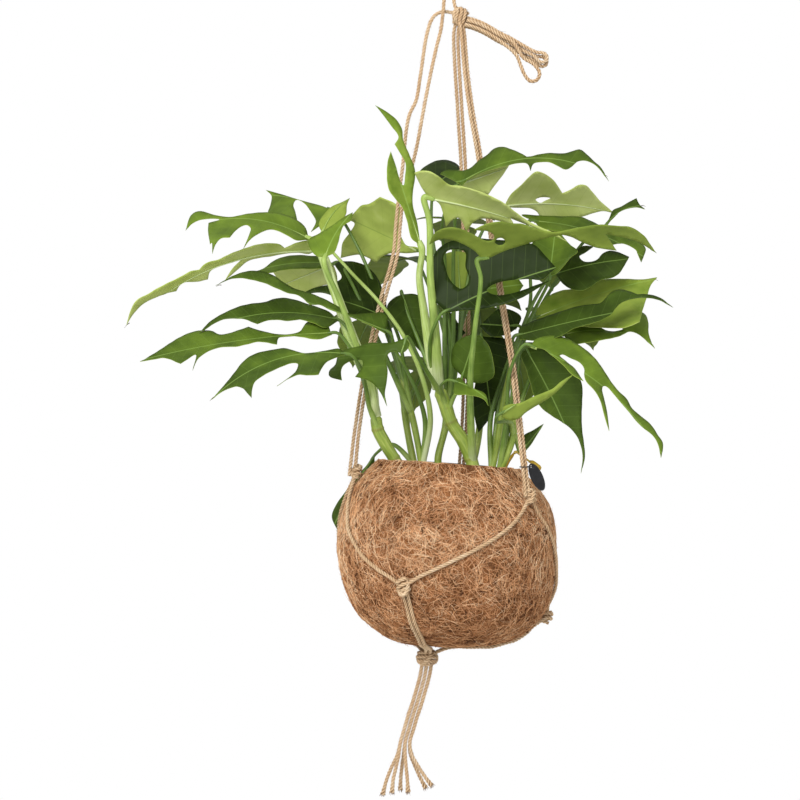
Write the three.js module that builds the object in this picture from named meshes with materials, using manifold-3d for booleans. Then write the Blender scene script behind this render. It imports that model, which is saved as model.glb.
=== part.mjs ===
// A split-leaf climbing plant in a ball pot of matted coconut fibre, hung in a knotted jute hanger.
// Millimetres, +Z up. The origin is where a hook bears, on the underside of the hanging loop.
// The front faces -Y.

import * as THREE from "three";
import { mergeVertices } from "three/addons/utils/BufferGeometryUtils.js";
import Module from "manifold-3d";

const wasm = await Module();
wasm.setup();

// Driving dimensions: the pot
const mouthCentre = [0, 0, -429];
const mouthTilt = THREE.MathUtils.degToRad(4); // the mouth's right side lies lower
const bodyShift = [-2, 3]; // the round body's axis, sideways, at its widest and at its foot
const tiltEnds = 70; // the tilt dies out this far below the mouth
const widestBelow = 78;
const bodyHeight = 158;
const coirOutside = [
  [0, 0], [64, 0], [68, -3], [78, -11], [90, -28], [98, -54], [99, -80], [94.5, -108],
  [83.5, -134], [61, -153], [36, -159.5], [0, -159.5],
];
const growPot = { height: 128, rimOver: 2.5, topRadius: 61.5, footRadius: 50, wall: 1.3 };
const rimBand = { height: 10, step: 1.5, edge: 1 }; // the wider band at the nursery pot's top
const touching = 0.35; // the gap between two pieces that touch
const sliver = 0.1; // detail smaller than this is dropped
const coirFloor = growPot.rimOver - growPot.height - touching;
const coirInside = [
  [0, 8], [63, 8], [63, -7], [82, -32], [87, -68], [80, -102], [64, coirFloor], [0, coirFloor],
];
const soilBelowRim = 9;
const roundSides = 26;
const innerSides = 20;

// Driving dimensions: the cord
const cord = 3.5;
const pairGap = 3.9; // between the centres of two cords that run side by side
const cordSides = 6;
const looseSides = 8;

// Driving dimensions: the knots. Those on the coir lie at [turn from +X, distance down its surface].
const knotSizes = {
  top_knot: { at: [10, 0, -17.5], half: [7.2, 7, 9.5] },
  upper_knot_left: { onCoir: [190, 20], half: [5, 5, 6.5], off: 7 },
  upper_knot_right: { onCoir: [-40, 34], half: [6, 5, 6.5], off: 6.6 },
  upper_knot_back: { onCoir: [85, 34], half: [6, 5, 6.5], off: 6.4 },
  lower_knot_front: { onCoir: [246, 112], half: [6.5, 4.5, 8], off: 5.8 },
  lower_knot_right: { onCoir: [6, 148], half: [5.5, 5, 6], off: 6.8 },
  lower_knot_left: { onCoir: [142, 128], half: [5.5, 5, 6.5], off: 6.6 },
  bottom_knot: { at: [-20, -4, -602], half: [10.5, 9, 7.5] },
};

const knotTurns = { count: 4, rise: 0.09, slant: 3 }; // the turns of cord that show in a knot's round
const knotSquare = 0.18;

// The eye that the sighted places are measured from stands level, in front of the pot.
const eye = { away: 2000, side: -45, height: -367 };

// Driving dimensions: the leaves
const bladeThick = 0.8;
const petioleThick = 4;
const petioleSides = 4;
const stemSides = 6;
const jointHalf = 1.4; // half the length of the ring at a joint
const jointOver = 1.2;
const rootDepth = 24; // how deep a stem's root end stands below the soil's face
const collarOver = 4;
const stemHole = 0.6; // the soil's gap round a root end
const midribSteps = 4;
const backArch = 12;
const backFold = THREE.MathUtils.degToRad(12);
const backCurl = 0.12;
const backWave = 2;
const seenFold = 0.1; // how far a drawn blade's halves fold towards the eye, by distance from the midrib
const seenCurl = 0.012; // how far its margins curl, by the square of the distance from the midrib
const lobeSweep = 0.17; // how far a lobe leans towards the tip, as a part of the blade's length

// Cuts from the margin towards the midrib: [where along the midrib, how near it, mouth width].
const cutPatterns = {
  open: [[0.15, 0.2, 0.16], [0.44, 0.2, 0.17]],
  wide: [[0.28, 0.2, 0.25]],
  late: [[0.42, 0.2, 0.19]],
};

const colours = {
  coir: 0x9c6b43, jute: 0xc3a17a, leaf: 0x4c6b2a,
  black: 0x1c1c1e, soil: 0x2b211a, withered: 0xc2a94a,
};

const group = new THREE.Group();

function vector([x, y, z]) {
  return new THREE.Vector3(x, y, z);
}

// Carries a place that is measured in the plane of the pot's axis, as the eye sees it, to its depth.
function sighted([x, y, z]) {
  const spread = (eye.away + y) / eye.away;
  return new THREE.Vector3(eye.side + (x - eye.side) * spread, y, eye.height + (z - eye.height) * spread);
}

function add(name, geometry, colour, roughness = 0.8, parent = group) {
  const material = new THREE.MeshStandardMaterial({ color: colour, roughness, metalness: 0 });
  const mesh = new THREE.Mesh(geometry, material);
  mesh.name = name;
  parent.add(mesh);
  return mesh;
}

function solidOf(geometry) {
  const bare = geometry.clone();
  bare.deleteAttribute("normal");
  bare.deleteAttribute("uv");
  const merged = mergeVertices(bare, 1e-4);
  const vertProperties = new Float32Array(merged.attributes.position.array);
  const triVerts = new Uint32Array(merged.index.array);
  return new wasm.Manifold(new wasm.Mesh({ numProp: 3, vertProperties, triVerts }));
}

// Joined solids lose the slivers that joining leaves.
function geometryOf(solid) {
  const { vertProperties, triVerts } = solid.asOriginal().simplify(sliver).getMesh();
  const geometry = new THREE.BufferGeometry();
  geometry.setAttribute("position", new THREE.BufferAttribute(vertProperties, 3));
  geometry.setIndex(new THREE.BufferAttribute(triVerts, 1));
  geometry.computeVertexNormals();
  return geometry;
}

// A curve through its points whose rings stand at even steps between the points.
class Route extends THREE.CatmullRomCurve3 {
  getUtoTmapping(part) {
    return part;
  }
}

function sectionOf(diameter, sides) {
  const corners = [];
  for (let i = 0; i < sides; i += 1) {
    const angle = (2 * Math.PI * (i + 0.5)) / sides;
    corners.push(new THREE.Vector2(Math.cos(angle) * diameter / 2, Math.sin(angle) * diameter / 2));
  }
  return new THREE.Shape(corners);
}

function tube(points, diameter, sides, stepsPerSpan) {
  const extrudePath = new Route(points, false, "centripetal");
  const steps = (points.length - 1) * stepsPerSpan;
  return new THREE.ExtrudeGeometry(sectionOf(diameter, sides), { steps, extrudePath, bevelEnabled: false });
}

// The pot

// The pot settles askew: its mouth tilts, and its round body sits aside from the mouth.
function settled(x, y, z) {
  const low = THREE.MathUtils.clamp(-z / tiltEnds, 0, 1);
  const tilt = mouthTilt * (1 - low * low * (3 - 2 * low));
  const waist = THREE.MathUtils.clamp(-z / widestBelow, 0, 1);
  const foot = THREE.MathUtils.clamp((-z - widestBelow) / (bodyHeight - widestBelow), 0, 1);
  const shift = bodyShift[0] * waist + (bodyShift[1] - bodyShift[0]) * foot;
  return new THREE.Vector3(x + shift, y, z - x * Math.tan(tilt)).add(vector(mouthCentre));
}

function turned(profile, sides) {
  const points = profile.map(([radius, height]) => new THREE.Vector2(radius, height));
  return new THREE.LatheGeometry(points, sides).rotateX(Math.PI / 2);
}

function coirPot() {
  const outside = turned([...coirOutside].reverse(), roundSides);
  const place = outside.attributes.position;
  for (let i = 0; i < place.count; i += 1) {
    const moved = settled(place.getX(i), place.getY(i), place.getZ(i));
    place.setXYZ(i, moved.x, moved.y, moved.z);
  }
  const inside = turned([...coirInside].reverse(), roundSides);
  inside.rotateY(mouthTilt).translate(...mouthCentre);
  return geometryOf(solidOf(outside).subtract(solidOf(inside)));
}

const potGroup = new THREE.Group();
potGroup.position.set(...mouthCentre);
potGroup.rotation.y = mouthTilt;
potGroup.updateMatrixWorld(true);
group.add(potGroup);

const growTop = growPot.rimOver;
const growFoot = growTop - growPot.height;

function growRadius(height) {
  const part = (height - growFoot) / growPot.height;
  return growPot.footRadius + (growPot.topRadius - rimBand.step - growPot.footRadius) * part;
}

const bandFoot = growTop - rimBand.height;

function growPotProfile() {
  const { topRadius, footRadius, wall } = growPot;
  return [
    [0, growFoot], [footRadius, growFoot], [growRadius(bandFoot), bandFoot],
    [topRadius, bandFoot + rimBand.edge], [topRadius, growTop], [topRadius - wall, growTop],
    [growRadius(bandFoot) - wall, bandFoot - rimBand.edge], [footRadius - wall, growFoot + wall],
    [0, growFoot + wall],
  ];
}

function soilProfile() {
  const gap = growPot.wall + touching;
  const low = growFoot + gap;
  const shoulder = bandFoot - rimBand.edge;
  const widest = growRadius(shoulder) - gap - 0.1;
  return [
    [0, low], [growPot.footRadius - gap, low], [widest, shoulder - touching],
    [widest, -soilBelowRim - 1], [40, -soilBelowRim], [0, -soilBelowRim + 2],
  ];
}

// A place on the coir, by its turn from +X and the distance down its surface from the mouth's edge,
// standing off the surface.
function onCoir(degrees, distance, standOff) {
  const outline = coirOutside.slice(1).map(([radius, height]) => new THREE.Vector2(radius, height));
  const pointAt = (turn, along) => {
    let left = Math.max(along, 0);
    let i = 0;
    while (i < outline.length - 2 && left > outline[i].distanceTo(outline[i + 1])) {
      left -= outline[i].distanceTo(outline[i + 1]);
      i += 1;
    }
    const { x: radius, y: height } = outline[i].clone().lerp(
      outline[i + 1],
      left / outline[i].distanceTo(outline[i + 1]),
    );
    return settled(Math.cos(turn) * radius, Math.sin(turn) * radius, height);
  };
  const angle = THREE.MathUtils.degToRad(degrees);
  const round = pointAt(angle + 0.02, distance).sub(pointAt(angle - 0.02, distance));
  const down = pointAt(angle, distance + 6).sub(pointAt(angle, distance - 6));
  const out = new THREE.Vector3().crossVectors(down, round).normalize();
  return pointAt(angle, distance).addScaledVector(out, standOff);
}

// The knots

const knots = Object.fromEntries(Object.entries(knotSizes).map(([name, { at, onCoir: place, half, off }]) => (
  [name, [at ?? onCoir(...place, off).toArray(), half]]
)));

// A rounded lump with slanting turns of cord raised on it.
function knotSolid([centre, half], grow = 0) {
  const geometry = new THREE.SphereGeometry(1, 10, 6);
  geometry.rotateX(Math.PI / 2);
  const place = geometry.attributes.position;
  for (let i = 0; i < place.count; i += 1) {
    const [x, y, z] = [place.getX(i), place.getY(i), place.getZ(i)];
    const turn = Math.atan2(y, x);
    const waist = Math.sqrt(Math.max(0, 1 - z * z));
    const raised = 1 + knotTurns.rise * waist * Math.cos(knotTurns.count * turn + knotTurns.slant * z);
    const square = 1 + knotSquare * waist * z * z;
    place.setXYZ(
      i,
      x * (half[0] + grow) * raised * square,
      y * (half[1] + grow) * raised * square,
      z * (half[2] + grow),
    );
  }
  geometry.translate(...centre);
  return solidOf(geometry);
}

const grownKnots = Object.values(knots).map((knot) => knotSolid(knot, touching));

// A cord that runs from knot to knot, cut back to their faces.
function knotted(geometry) {
  return grownKnots.reduce((rest, knot) => rest.subtract(knot), solidOf(geometry));
}

// Of what is left of a cord, the longest piece.
function longest(solid) {
  const pieces = solid.decompose();
  return pieces.reduce((best, piece) => (piece.volume() > best.volume() ? piece : best));
}

// The hanger: places in the plane of the pot's axis, [side, depth, height]
const legOuterLeft = [
  [10, 2, -16], [-3, 4, -13], [-9, 3.5, -14], [-15, 1.5, -19], [-20, 0, -33], [-26, -1, -71],
  [-30, -1.5, -94], [-36, -2, -107], [-39, -3, -122], [-42, -4, -152], [-45.5, -5, -180],
  [-48.5, -6, -208], [-51, -7, -235], [-62.5, -9, -276], [-77, -11, -340], [-86.5, -13, -399],
  [-91, -15, -437],
];
const legInnerLeft = [
  [-6, 0, -19.5], [-7.5, 0, -30], [-12, 0, -48], [-21, -1, -91], [-30, -2, -139], [-36, -3, -162],
  [-41, -4, -179], [-44.5, -6, -208], [-47, -7, -235], [-58.5, -9, -276], [-73, -11, -340],
  [-82.5, -13, -399], [-86, -14.5, -437],
];
const legBack = [
  [10, 2, -16], [6.5, 4, -32], [7, 8, -57], [9, 14, -89], [11, 21, -121], [13, 28, -153], [15, 42, -221],
  [16, 59, -304], [14, 78, -386], [11, 90, -430], [9, 96, -452],
];
const legRight = [
  [10, -2, -16], [12.5, -2.5, -32], [16, -5, -71], [21, -8, -107], [26, -11, -135], [29.5, -14, -157],
  [39, -22, -217], [49, -33, -281], [58, -43, -336], [65, -53, -395], [69, -59.5, -431], [71.5, -63, -456],
];

const rightPairAcross = [0.75, 0.65, 0];

// Two cords side by side follow one route, each half a spacing from it.
function pairOf(route, across) {
  return [-0.5, 0.5].map((side) => route.map(([x, y, z]) => {
    const place = sighted([x, y, z]);
    return place.addScaledVector(vector(across), side * pairGap);
  }));
}

function legRoutes() {
  return {
    leg_cord_left_outer: legOuterLeft.map(sighted),
    leg_cord_left_inner: legInnerLeft.map(sighted),
    leg_cord_back_1: pairOf(legBack, [1, 0, 0])[0],
    leg_cord_back_2: pairOf(legBack, [1, 0, 0])[1],
    leg_cord_right_1: pairOf(legRight, rightPairAcross)[0],
    leg_cord_right_2: pairOf(legRight, rightPairAcross)[1],
  };
}

// Each sling cord: the knots at its ends, and between them its [turn, distance down the coir].
const slings = {
  upper_sling_left_front: [
    "upper_knot_left", [[190, 24], [201, 54], [216, 80], [232, 99], [244, 110]], "lower_knot_front",
  ],
  upper_sling_left_back: [
    "upper_knot_left", [[190, 24], [178, 58], [163, 92], [148, 120], [142, 127]], "lower_knot_left",
  ],
  upper_sling_right_front: [
    "upper_knot_right", [[318, 38], [303, 60], [281, 82], [260, 99], [249, 108]], "lower_knot_front",
  ],
  upper_sling_right_back: [
    "upper_knot_right", [[321, 38], [331, 62], [343, 90], [353, 118], [360, 134], [365, 144]],
    "lower_knot_right",
  ],
  upper_sling_back_left: [
    "upper_knot_back", [[86, 38], [100, 62], [118, 92], [135, 118], [141, 126]], "lower_knot_left",
  ],
  upper_sling_back_right: [
    "upper_knot_back", [[84, 38], [70, 64], [50, 100], [24, 132], [9, 146]], "lower_knot_right",
  ],
};
const feet = {
  lower_sling_front: [
    "lower_knot_front", [[246, 116], [246, 136], [246, 156], [244, 178], [238, 196], [230, 206]],
  ],
  lower_sling_right: ["lower_knot_right", [[5, 153], [0, 172], [-10, 193], [-24, 213], [-58, 231]]],
  lower_sling_left: ["lower_knot_left", [[142, 134], [143, 152], [146, 176], [149, 192], [154, 203]]],
};
const standOff = cord / 2 + 1;

// Fills a list of [turn, distance] pairs in, so that a cord keeps to the round of the coir.
function laidOnCoir(path, perSpan) {
  const flat = new Route(path.map(([turn, distance]) => new THREE.Vector3(turn, distance, 0)));
  return flat.getPoints((path.length - 1) * perSpan).map(({ x, y }) => [x, y]);
}

function slingRoutes() {
  const routes = {};
  Object.entries(slings).forEach(([name, [from, path, to]]) => {
    const between = laidOnCoir(path, 2).slice(1, -1).map((place) => onCoir(...place, standOff));
    routes[name] = [vector(knots[from][0]), ...between, vector(knots[to][0])];
  });
  return routes;
}

// Two cords run side by side from each lower knot, under the coir, to the bottom knot.
function footRoutes() {
  const routes = {};
  const end = vector(knots.bottom_knot[0]);
  Object.entries(feet).forEach(([name, [from, path]]) => {
    const places = laidOnCoir(path, 2);
    const middles = places.map((place) => onCoir(...place, standOff + 0.3));
    const across = places.map((place, i) => {
      const run = middles[Math.min(i + 1, middles.length - 1)].clone().sub(middles[Math.max(i - 1, 0)]);
      const up = middles[i].clone().sub(onCoir(...place, 0));
      return run.cross(up).normalize();
    });
    const last = middles.length - 1;
    [-0.5, 0.5].forEach((side, i) => {
      const beside = (place, step) => place.clone().addScaledVector(across[step], side * pairGap);
      const start = beside(vector(knots[from][0]), 0);
      const near = beside(middles[last].clone().lerp(end, 0.5), last);
      near.z = middles[last].z - 3;
      const route = [start, ...middles.slice(1).map((place, step) => beside(place, step + 1)), near];
      routes[`${name}_${i + 1}`] = [...route, beside(end, last)];
    });
  });
  return routes;
}

// The turn over the hook: its underside is at the origin.
const loopRadius = 4.45;
function hangingLoop() {
  const points = [];
  for (let i = 0; i <= 6; i += 1) {
    const angle = Math.PI - (Math.PI * i) / 6;
    points.push(new THREE.Vector3(
      Math.cos(angle) * loopRadius, 0, Math.sin(angle) * loopRadius + cord / 2 - loopRadius,
    ));
  }
  points.unshift(new THREE.Vector3(-6, 0, -19.5 + touching), new THREE.Vector3(-4.9, 0, -9));
  points.push(new THREE.Vector3(5.5, 0, -8), new THREE.Vector3(9, 0, -15));
  return tube(points, cord, looseSides, 1);
}

// Loose cords

// The three folded ends that stand off the top knot, each out and back again.
const tailMiddle = [
  [15, 0, -22], [24, 0, -24.5], [34, 0, -29], [45, 0, -35.5], [57, 0, -41.5], [68, 0, -48], [79, 0, -53.5],
];
const tailHalf = 2.1;
const tailFold = [[4.2, 5.5], [3.4, 9.5], [0, 11.5], [-3.4, 9.5], [-4.2, 5.5]];
const tailRing = [
  [61, -53], [65, -62], [69, -71.5], [74, -77], [80, -76], [82.5, -70], [77, -61.5], [68, -56],
];

// Depth of each folded end, its fall below the middle one, and its share of the length.
const tails = {
  tail_loop_1: { depth: 4.2, fall: 1.5, spans: 6 },
  tail_loop_2: { depth: 0, fall: -1.5, spans: 6 },
  tail_loop_3: { depth: -4.2, fall: 1.5, spans: 4 },
};

function tailRoute({ depth, fall, spans }) {
  const middle = tailMiddle.slice(0, spans + 1).map(([x, , z]) => new THREE.Vector3(x, depth, z - fall));
  const run = middle[spans].clone().sub(middle[spans - 1]).normalize();
  const up = new THREE.Vector3(-run.z, 0, run.x);
  const there = middle.map((place) => place.clone().addScaledVector(up, tailHalf));
  const back = middle.map((place) => place.clone().addScaledVector(up, -tailHalf)).reverse();
  if (spans < tailMiddle.length - 1) {
    const ring = tailRing.map(([x, z]) => new THREE.Vector3(x, depth, z)).reverse();
    return [...there, ...ring, ...back.slice(1)];
  }
  const fold = tailFold.map(([rise, on]) => (
    middle[spans].clone().addScaledVector(up, rise).addScaledVector(run, on)
  ));
  return [...there, ...fold, ...back];
}

// The six ends below the bottom knot: a bundle that opens out, [side, depth, height]
const tasselBundle = [
  [-20, -4, -605], [-22, -4, -618], [-25.5, -4, -631], [-29, -4, -643], [-33, -4, -655], [-36.5, -4, -667],
  [-40, -4, -679],
];
const tasselGap = 4.2;
const tasselEnds = [
  { column: -1, depth: 2, ends: [[-47, 0, -691], [-53, 1, -704], [-57.5, 2, -716], [-60.5, 3, -728]] },
  { column: -1, depth: -2, ends: [[-46, -7, -691], [-48.5, -8, -702], [-51, -10, -713], [-52, -11, -724]] },
  { column: 0, depth: 2, ends: [[-41.5, -1, -691], [-43, 2, -702], [-44, 4, -713], [-44.5, 5, -724]] },
  { column: 0, depth: -2, ends: [[-40, -8, -691], [-39, -10, -702], [-38, -12, -713], [-37.5, -14, -723]] },
  { column: 1, depth: 2, ends: [[-35, -1, -691], [-31, 1, -702], [-26, 2, -713], [-21.5, 3, -722]] },
  { column: 1, depth: -2, ends: [[-34, -7, -690], [-28.5, -7.5, -700], [-22, -8, -710], [-16, -8, -718]] },
];

function tasselRoute({ column, depth, ends }) {
  const bundle = tasselBundle.map(([x, y, z]) => new THREE.Vector3(x + column * tasselGap, y + depth, z));
  return [...bundle, ...ends.map(vector)];
}

// The leafy stems

function coverOf(along) {
  return along <= 0 ? 0 : Math.sin(Math.PI * along ** 0.55) ** 0.75;
}

// The outline of half a blade, from its foot to its tip, as [along, across].
function halfOutline(cuts) {
  const outline = [[-0.03, 0.3], [0.05, 0.74]];
  let rear = 0.16;
  cuts.forEach(([at, near, mouth]) => {
    const front = at + lobeSweep - mouth / 2 + 0.02;
    outline.push([rear, coverOf(rear) * (rear > 0.16 ? 0.78 : 1)]);
    outline.push([front, coverOf(front) * 0.97]);
    outline.push([at + lobeSweep * 0.42 - mouth * 0.12, coverOf(at) * 0.5]);
    outline.push([at + 0.02, near]);
    outline.push([at + 0.05 + lobeSweep * 0.5 + mouth * 0.22, coverOf(at + 0.1) * 0.5]);
    rear = at + lobeSweep + mouth / 2 + 0.05;
  });
  outline.push([rear, coverOf(rear) * (cuts.length ? 0.78 : 1)]);
  const parts = cuts.length ? 1 : 3;
  for (let i = 1; i <= parts; i += 1) {
    const along = rear + ((1 - rear) * i) / (parts + 1);
    outline.push([along, coverOf(along)]);
  }
  return outline;
}

// The frame that a blade is laid on: its midrib, and the directions across it and out of its face.
function bladeFrame({ base, tip }) {
  const start = sighted(base);
  const end = sighted(tip);
  const chord = end.clone().sub(start);
  const length = chord.length();
  const ahead = chord.clone().normalize();
  const across = new THREE.Vector3().crossVectors(ahead, new THREE.Vector3(0, 0, 1)).normalize();
  const out = new THREE.Vector3().crossVectors(across, ahead);
  const middle = start.clone().add(end).multiplyScalar(0.5).addScaledVector(out, backArch * 2);
  const midrib = new THREE.QuadraticBezierCurve3(start, middle, end);
  const at = (along) => {
    const within = THREE.MathUtils.clamp(along, 0, 1);
    const forward = midrib.getTangent(within);
    const place = midrib.getPoint(within).addScaledVector(forward, (along - within) * length);
    const side = across.clone().addScaledVector(forward, -across.dot(forward)).normalize();
    return { place, forward, side, face: new THREE.Vector3().crossVectors(side, forward) };
  };
  return { at, length };
}

// A blade that is drawn as it is seen: its outline in the pot's middle plane, its depth from a formula.
function seenSurface({ base, tip, bow, slope, fold = seenFold, curl = seenCurl, under = false }) {
  const ahead = new THREE.Vector2(tip[0] - base[0], tip[2] - base[2]);
  const length = ahead.length();
  ahead.divideScalar(length);
  const up = new THREE.Vector2(-ahead.y, ahead.x).multiplyScalar(Math.sign(ahead.x));
  const clamp = THREE.MathUtils.clamp;
  const bowAt = (along) => 4 * bow * clamp(along, 0, 1) * (1 - clamp(along, 0, 1));
  const laid = (along, rise) => {
    const within = clamp(along, -0.2, 1.2);
    const across = rise + bowAt(along);
    const x = base[0] + ahead.x * along * length + up.x * across;
    const z = base[2] + ahead.y * along * length + up.y * across;
    const bent = slope * rise - fold * Math.abs(rise) + Math.sign(slope) * curl * rise * Math.abs(rise);
    return sighted([x, base[1] + (tip[1] - base[1]) * within + bent, z]);
  };
  const at = (along, rise = 0) => {
    const forward = laid(along + 0.01, rise).sub(laid(along - 0.01, rise)).normalize();
    const side = laid(along, rise + 0.5).sub(laid(along, rise - 0.5)).normalize();
    const out = new THREE.Vector3().crossVectors(forward, side).normalize();
    const face = out.clone();
    if (face.y > 0 !== under) face.negate();
    return { place: laid(along, rise), forward, face, out };
  };
  const flat = ([x, z]) => {
    const away = new THREE.Vector2(x - base[0], z - base[2]);
    const along = away.dot(ahead) / length;
    return new THREE.Vector2(along, away.dot(up) - bowAt(along));
  };
  return { at, flat, length };
}

function seenBlade(leaf) {
  const { at, flat, length } = seenSurface(leaf);
  const outline = leaf.edge.flat().map(flat);
  const holes = (leaf.holes ?? []).map((hole) => hole.map(flat));
  const wide = (ring) => ring.map(({ x, y }) => new THREE.Vector2(x * length, y));
  if (THREE.ShapeUtils.area(wide(outline)) < 0) outline.reverse();
  holes.forEach((hole) => {
    if (THREE.ShapeUtils.area(wide(hole)) > 0) hole.reverse();
  });
  const places = [...outline, ...holes.flat()];
  const triangles = THREE.ShapeUtils.triangulateShape(wide(outline), holes.map(wide));
  const corners = [];
  const corner = ({ x, y }, upper) => {
    const { place, out } = at(x, y);
    corners.push(...place.addScaledVector(out, upper ? bladeThick / 2 : -bladeThick / 2).toArray());
  };
  triangles.forEach((triangle) => {
    const [a, b, c] = triangle.map((i) => places[i]);
    [a, b, c].forEach((place) => corner(place, true));
    [a, c, b].forEach((place) => corner(place, false));
  });
  [outline, ...holes].forEach((ring) => ring.forEach((from, i) => {
    const to = ring[(i + 1) % ring.length];
    const wall = [[from, 0], [to, 0], [to, 1], [from, 0], [to, 1], [from, 1]];
    wall.forEach(([place, upper]) => corner(place, upper));
  }));
  const geometry = new THREE.BufferGeometry();
  geometry.setAttribute("position", new THREE.Float32BufferAttribute(corners, 3));
  return geometry;
}

function bladeSurface(leaf) {
  const { half } = leaf;
  const { at } = bladeFrame(leaf);
  return (along, across, offset) => {
    const { place, side, face } = at(along);
    const away = Math.abs(across);
    const ripple = backWave * Math.sin(9 * along + 2.5 * Math.sign(across)) * away * away;
    const rise = half * away * Math.sin(backFold) - backCurl * half * away * away + ripple + offset;
    return place.addScaledVector(side, half * across * Math.cos(backFold)).addScaledVector(face, rise);
  };
}

// A blade at the back: two halves that share the midrib, split into triangles alike on both faces.
function bladeGeometry(leaf) {
  const surface = bladeSurface(leaf);
  const corners = [];
  const corner = ([along, across], upper) => {
    corners.push(...surface(along, across, upper ? bladeThick / 2 : -bladeThick / 2).toArray());
  };
  const { cuts: nearCuts = "open" } = leaf;
  const farCuts = nearCuts === "open" ? "wide" : nearCuts;
  [[1, nearCuts], [-1, farCuts]].forEach(([side, cuts]) => {
    const mirror = ([along, across]) => [along, across * side];
    const outline = [[0, 0], ...halfOutline(cutPatterns[cuts]), [1, 0]].map(mirror);
    const midrib = [];
    for (let i = midribSteps - 1; i > 0; i -= 1) midrib.push([i / midribSteps, 0]);
    const places = [...outline, ...midrib];
    const flat = places.map(([along, across]) => new THREE.Vector2(along * 2, across));
    THREE.ShapeUtils.triangulateShape(flat, []).forEach((triangle) => {
      const [a, b, c] = triangle.map((i) => places[i]);
      const turn = (b[0] - a[0]) * (c[1] - a[1]) - (b[1] - a[1]) * (c[0] - a[0]);
      const [first, second, third] = turn > 0 ? [a, b, c] : [a, c, b];
      [first, second, third].forEach((place) => corner(place, false));
      [first, third, second].forEach((place) => corner(place, true));
    });
    const wall = (from, to) => {
      corner(from, true);
      corner(to, true);
      corner(to, false);
      corner(from, true);
      corner(to, false);
      corner(from, false);
    };
    for (let i = 0; i + 1 < outline.length; i += 1) {
      if (side > 0) wall(outline[i + 1], outline[i]);
      else wall(outline[i], outline[i + 1]);
    }
  });
  const geometry = new THREE.BufferGeometry();
  geometry.setAttribute("position", new THREE.Float32BufferAttribute(corners, 3));
  return geometry;
}

// A petiole leaves its stem upwards and runs a little way under the blade.
function petioleGeometry(leaf, root, upwards) {
  const { at } = leaf.edge ? seenSurface(leaf) : bladeFrame(leaf);
  const { place, forward, face } = at(0);
  const under = face.clone().multiplyScalar(-0.5);
  const end = place.clone().addScaledVector(forward, 4).add(under);
  const before = place.clone().addScaledVector(forward, -5).add(under);
  const thick = leaf.petiole ?? petioleThick;
  if (leaf.via) return tube([root, ...leaf.via.map(sighted), before, end], thick, petioleSides, 1);
  const reach = root.distanceTo(before);
  const early = root.clone().addScaledVector(upwards, reach * 0.4);
  const late = before.clone().addScaledVector(forward, -reach * 0.18);
  late.z -= reach * 0.12;
  const curve = new THREE.CubicBezierCurve3(root, early, late, before);
  return tube([...curve.getPoints(4), end], thick, petioleSides, 1);
}

// A stem stands in the soil on a straight root end and carries its petioles and blades.
function leafyStem({ foot, route, thick, leaves, joints = [] }) {
  const rootEnd = potGroup.localToWorld(new THREE.Vector3(...foot, -soilBelowRim - rootDepth));
  const collar = potGroup.localToWorld(new THREE.Vector3(...foot, -soilBelowRim + collarOver));
  const points = [rootEnd, collar, ...route.map(sighted)];
  const curve = new Route(points.slice(1), false, "centripetal");
  const sides = thick > petioleThick ? stemSides : petioleSides;
  const parts = [tube([rootEnd, collar], thick, sides, 1)];
  parts.push(tube(points.slice(1), thick, sides, 1));
  const top = points.length - 2;
  joints.forEach((joint) => {
    const here = curve.getPoint(joint / top);
    const ahead = curve.getTangent(joint / top).multiplyScalar(jointHalf);
    parts.push(tube([here.clone().sub(ahead), here.clone().add(ahead)], thick + jointOver, stemSides, 1));
  });
  leaves.forEach((leaf) => {
    const along = leaf.at ?? 0.7;
    parts.push(petioleGeometry(leaf, curve.getPoint(along), curve.getTangent(along)));
    parts.push(leaf.edge ? seenBlade(leaf) : bladeGeometry(leaf));
  });
  const solids = parts.map(solidOf);
  return solids.reduce((whole, part) => whole.add(part));
}

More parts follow.
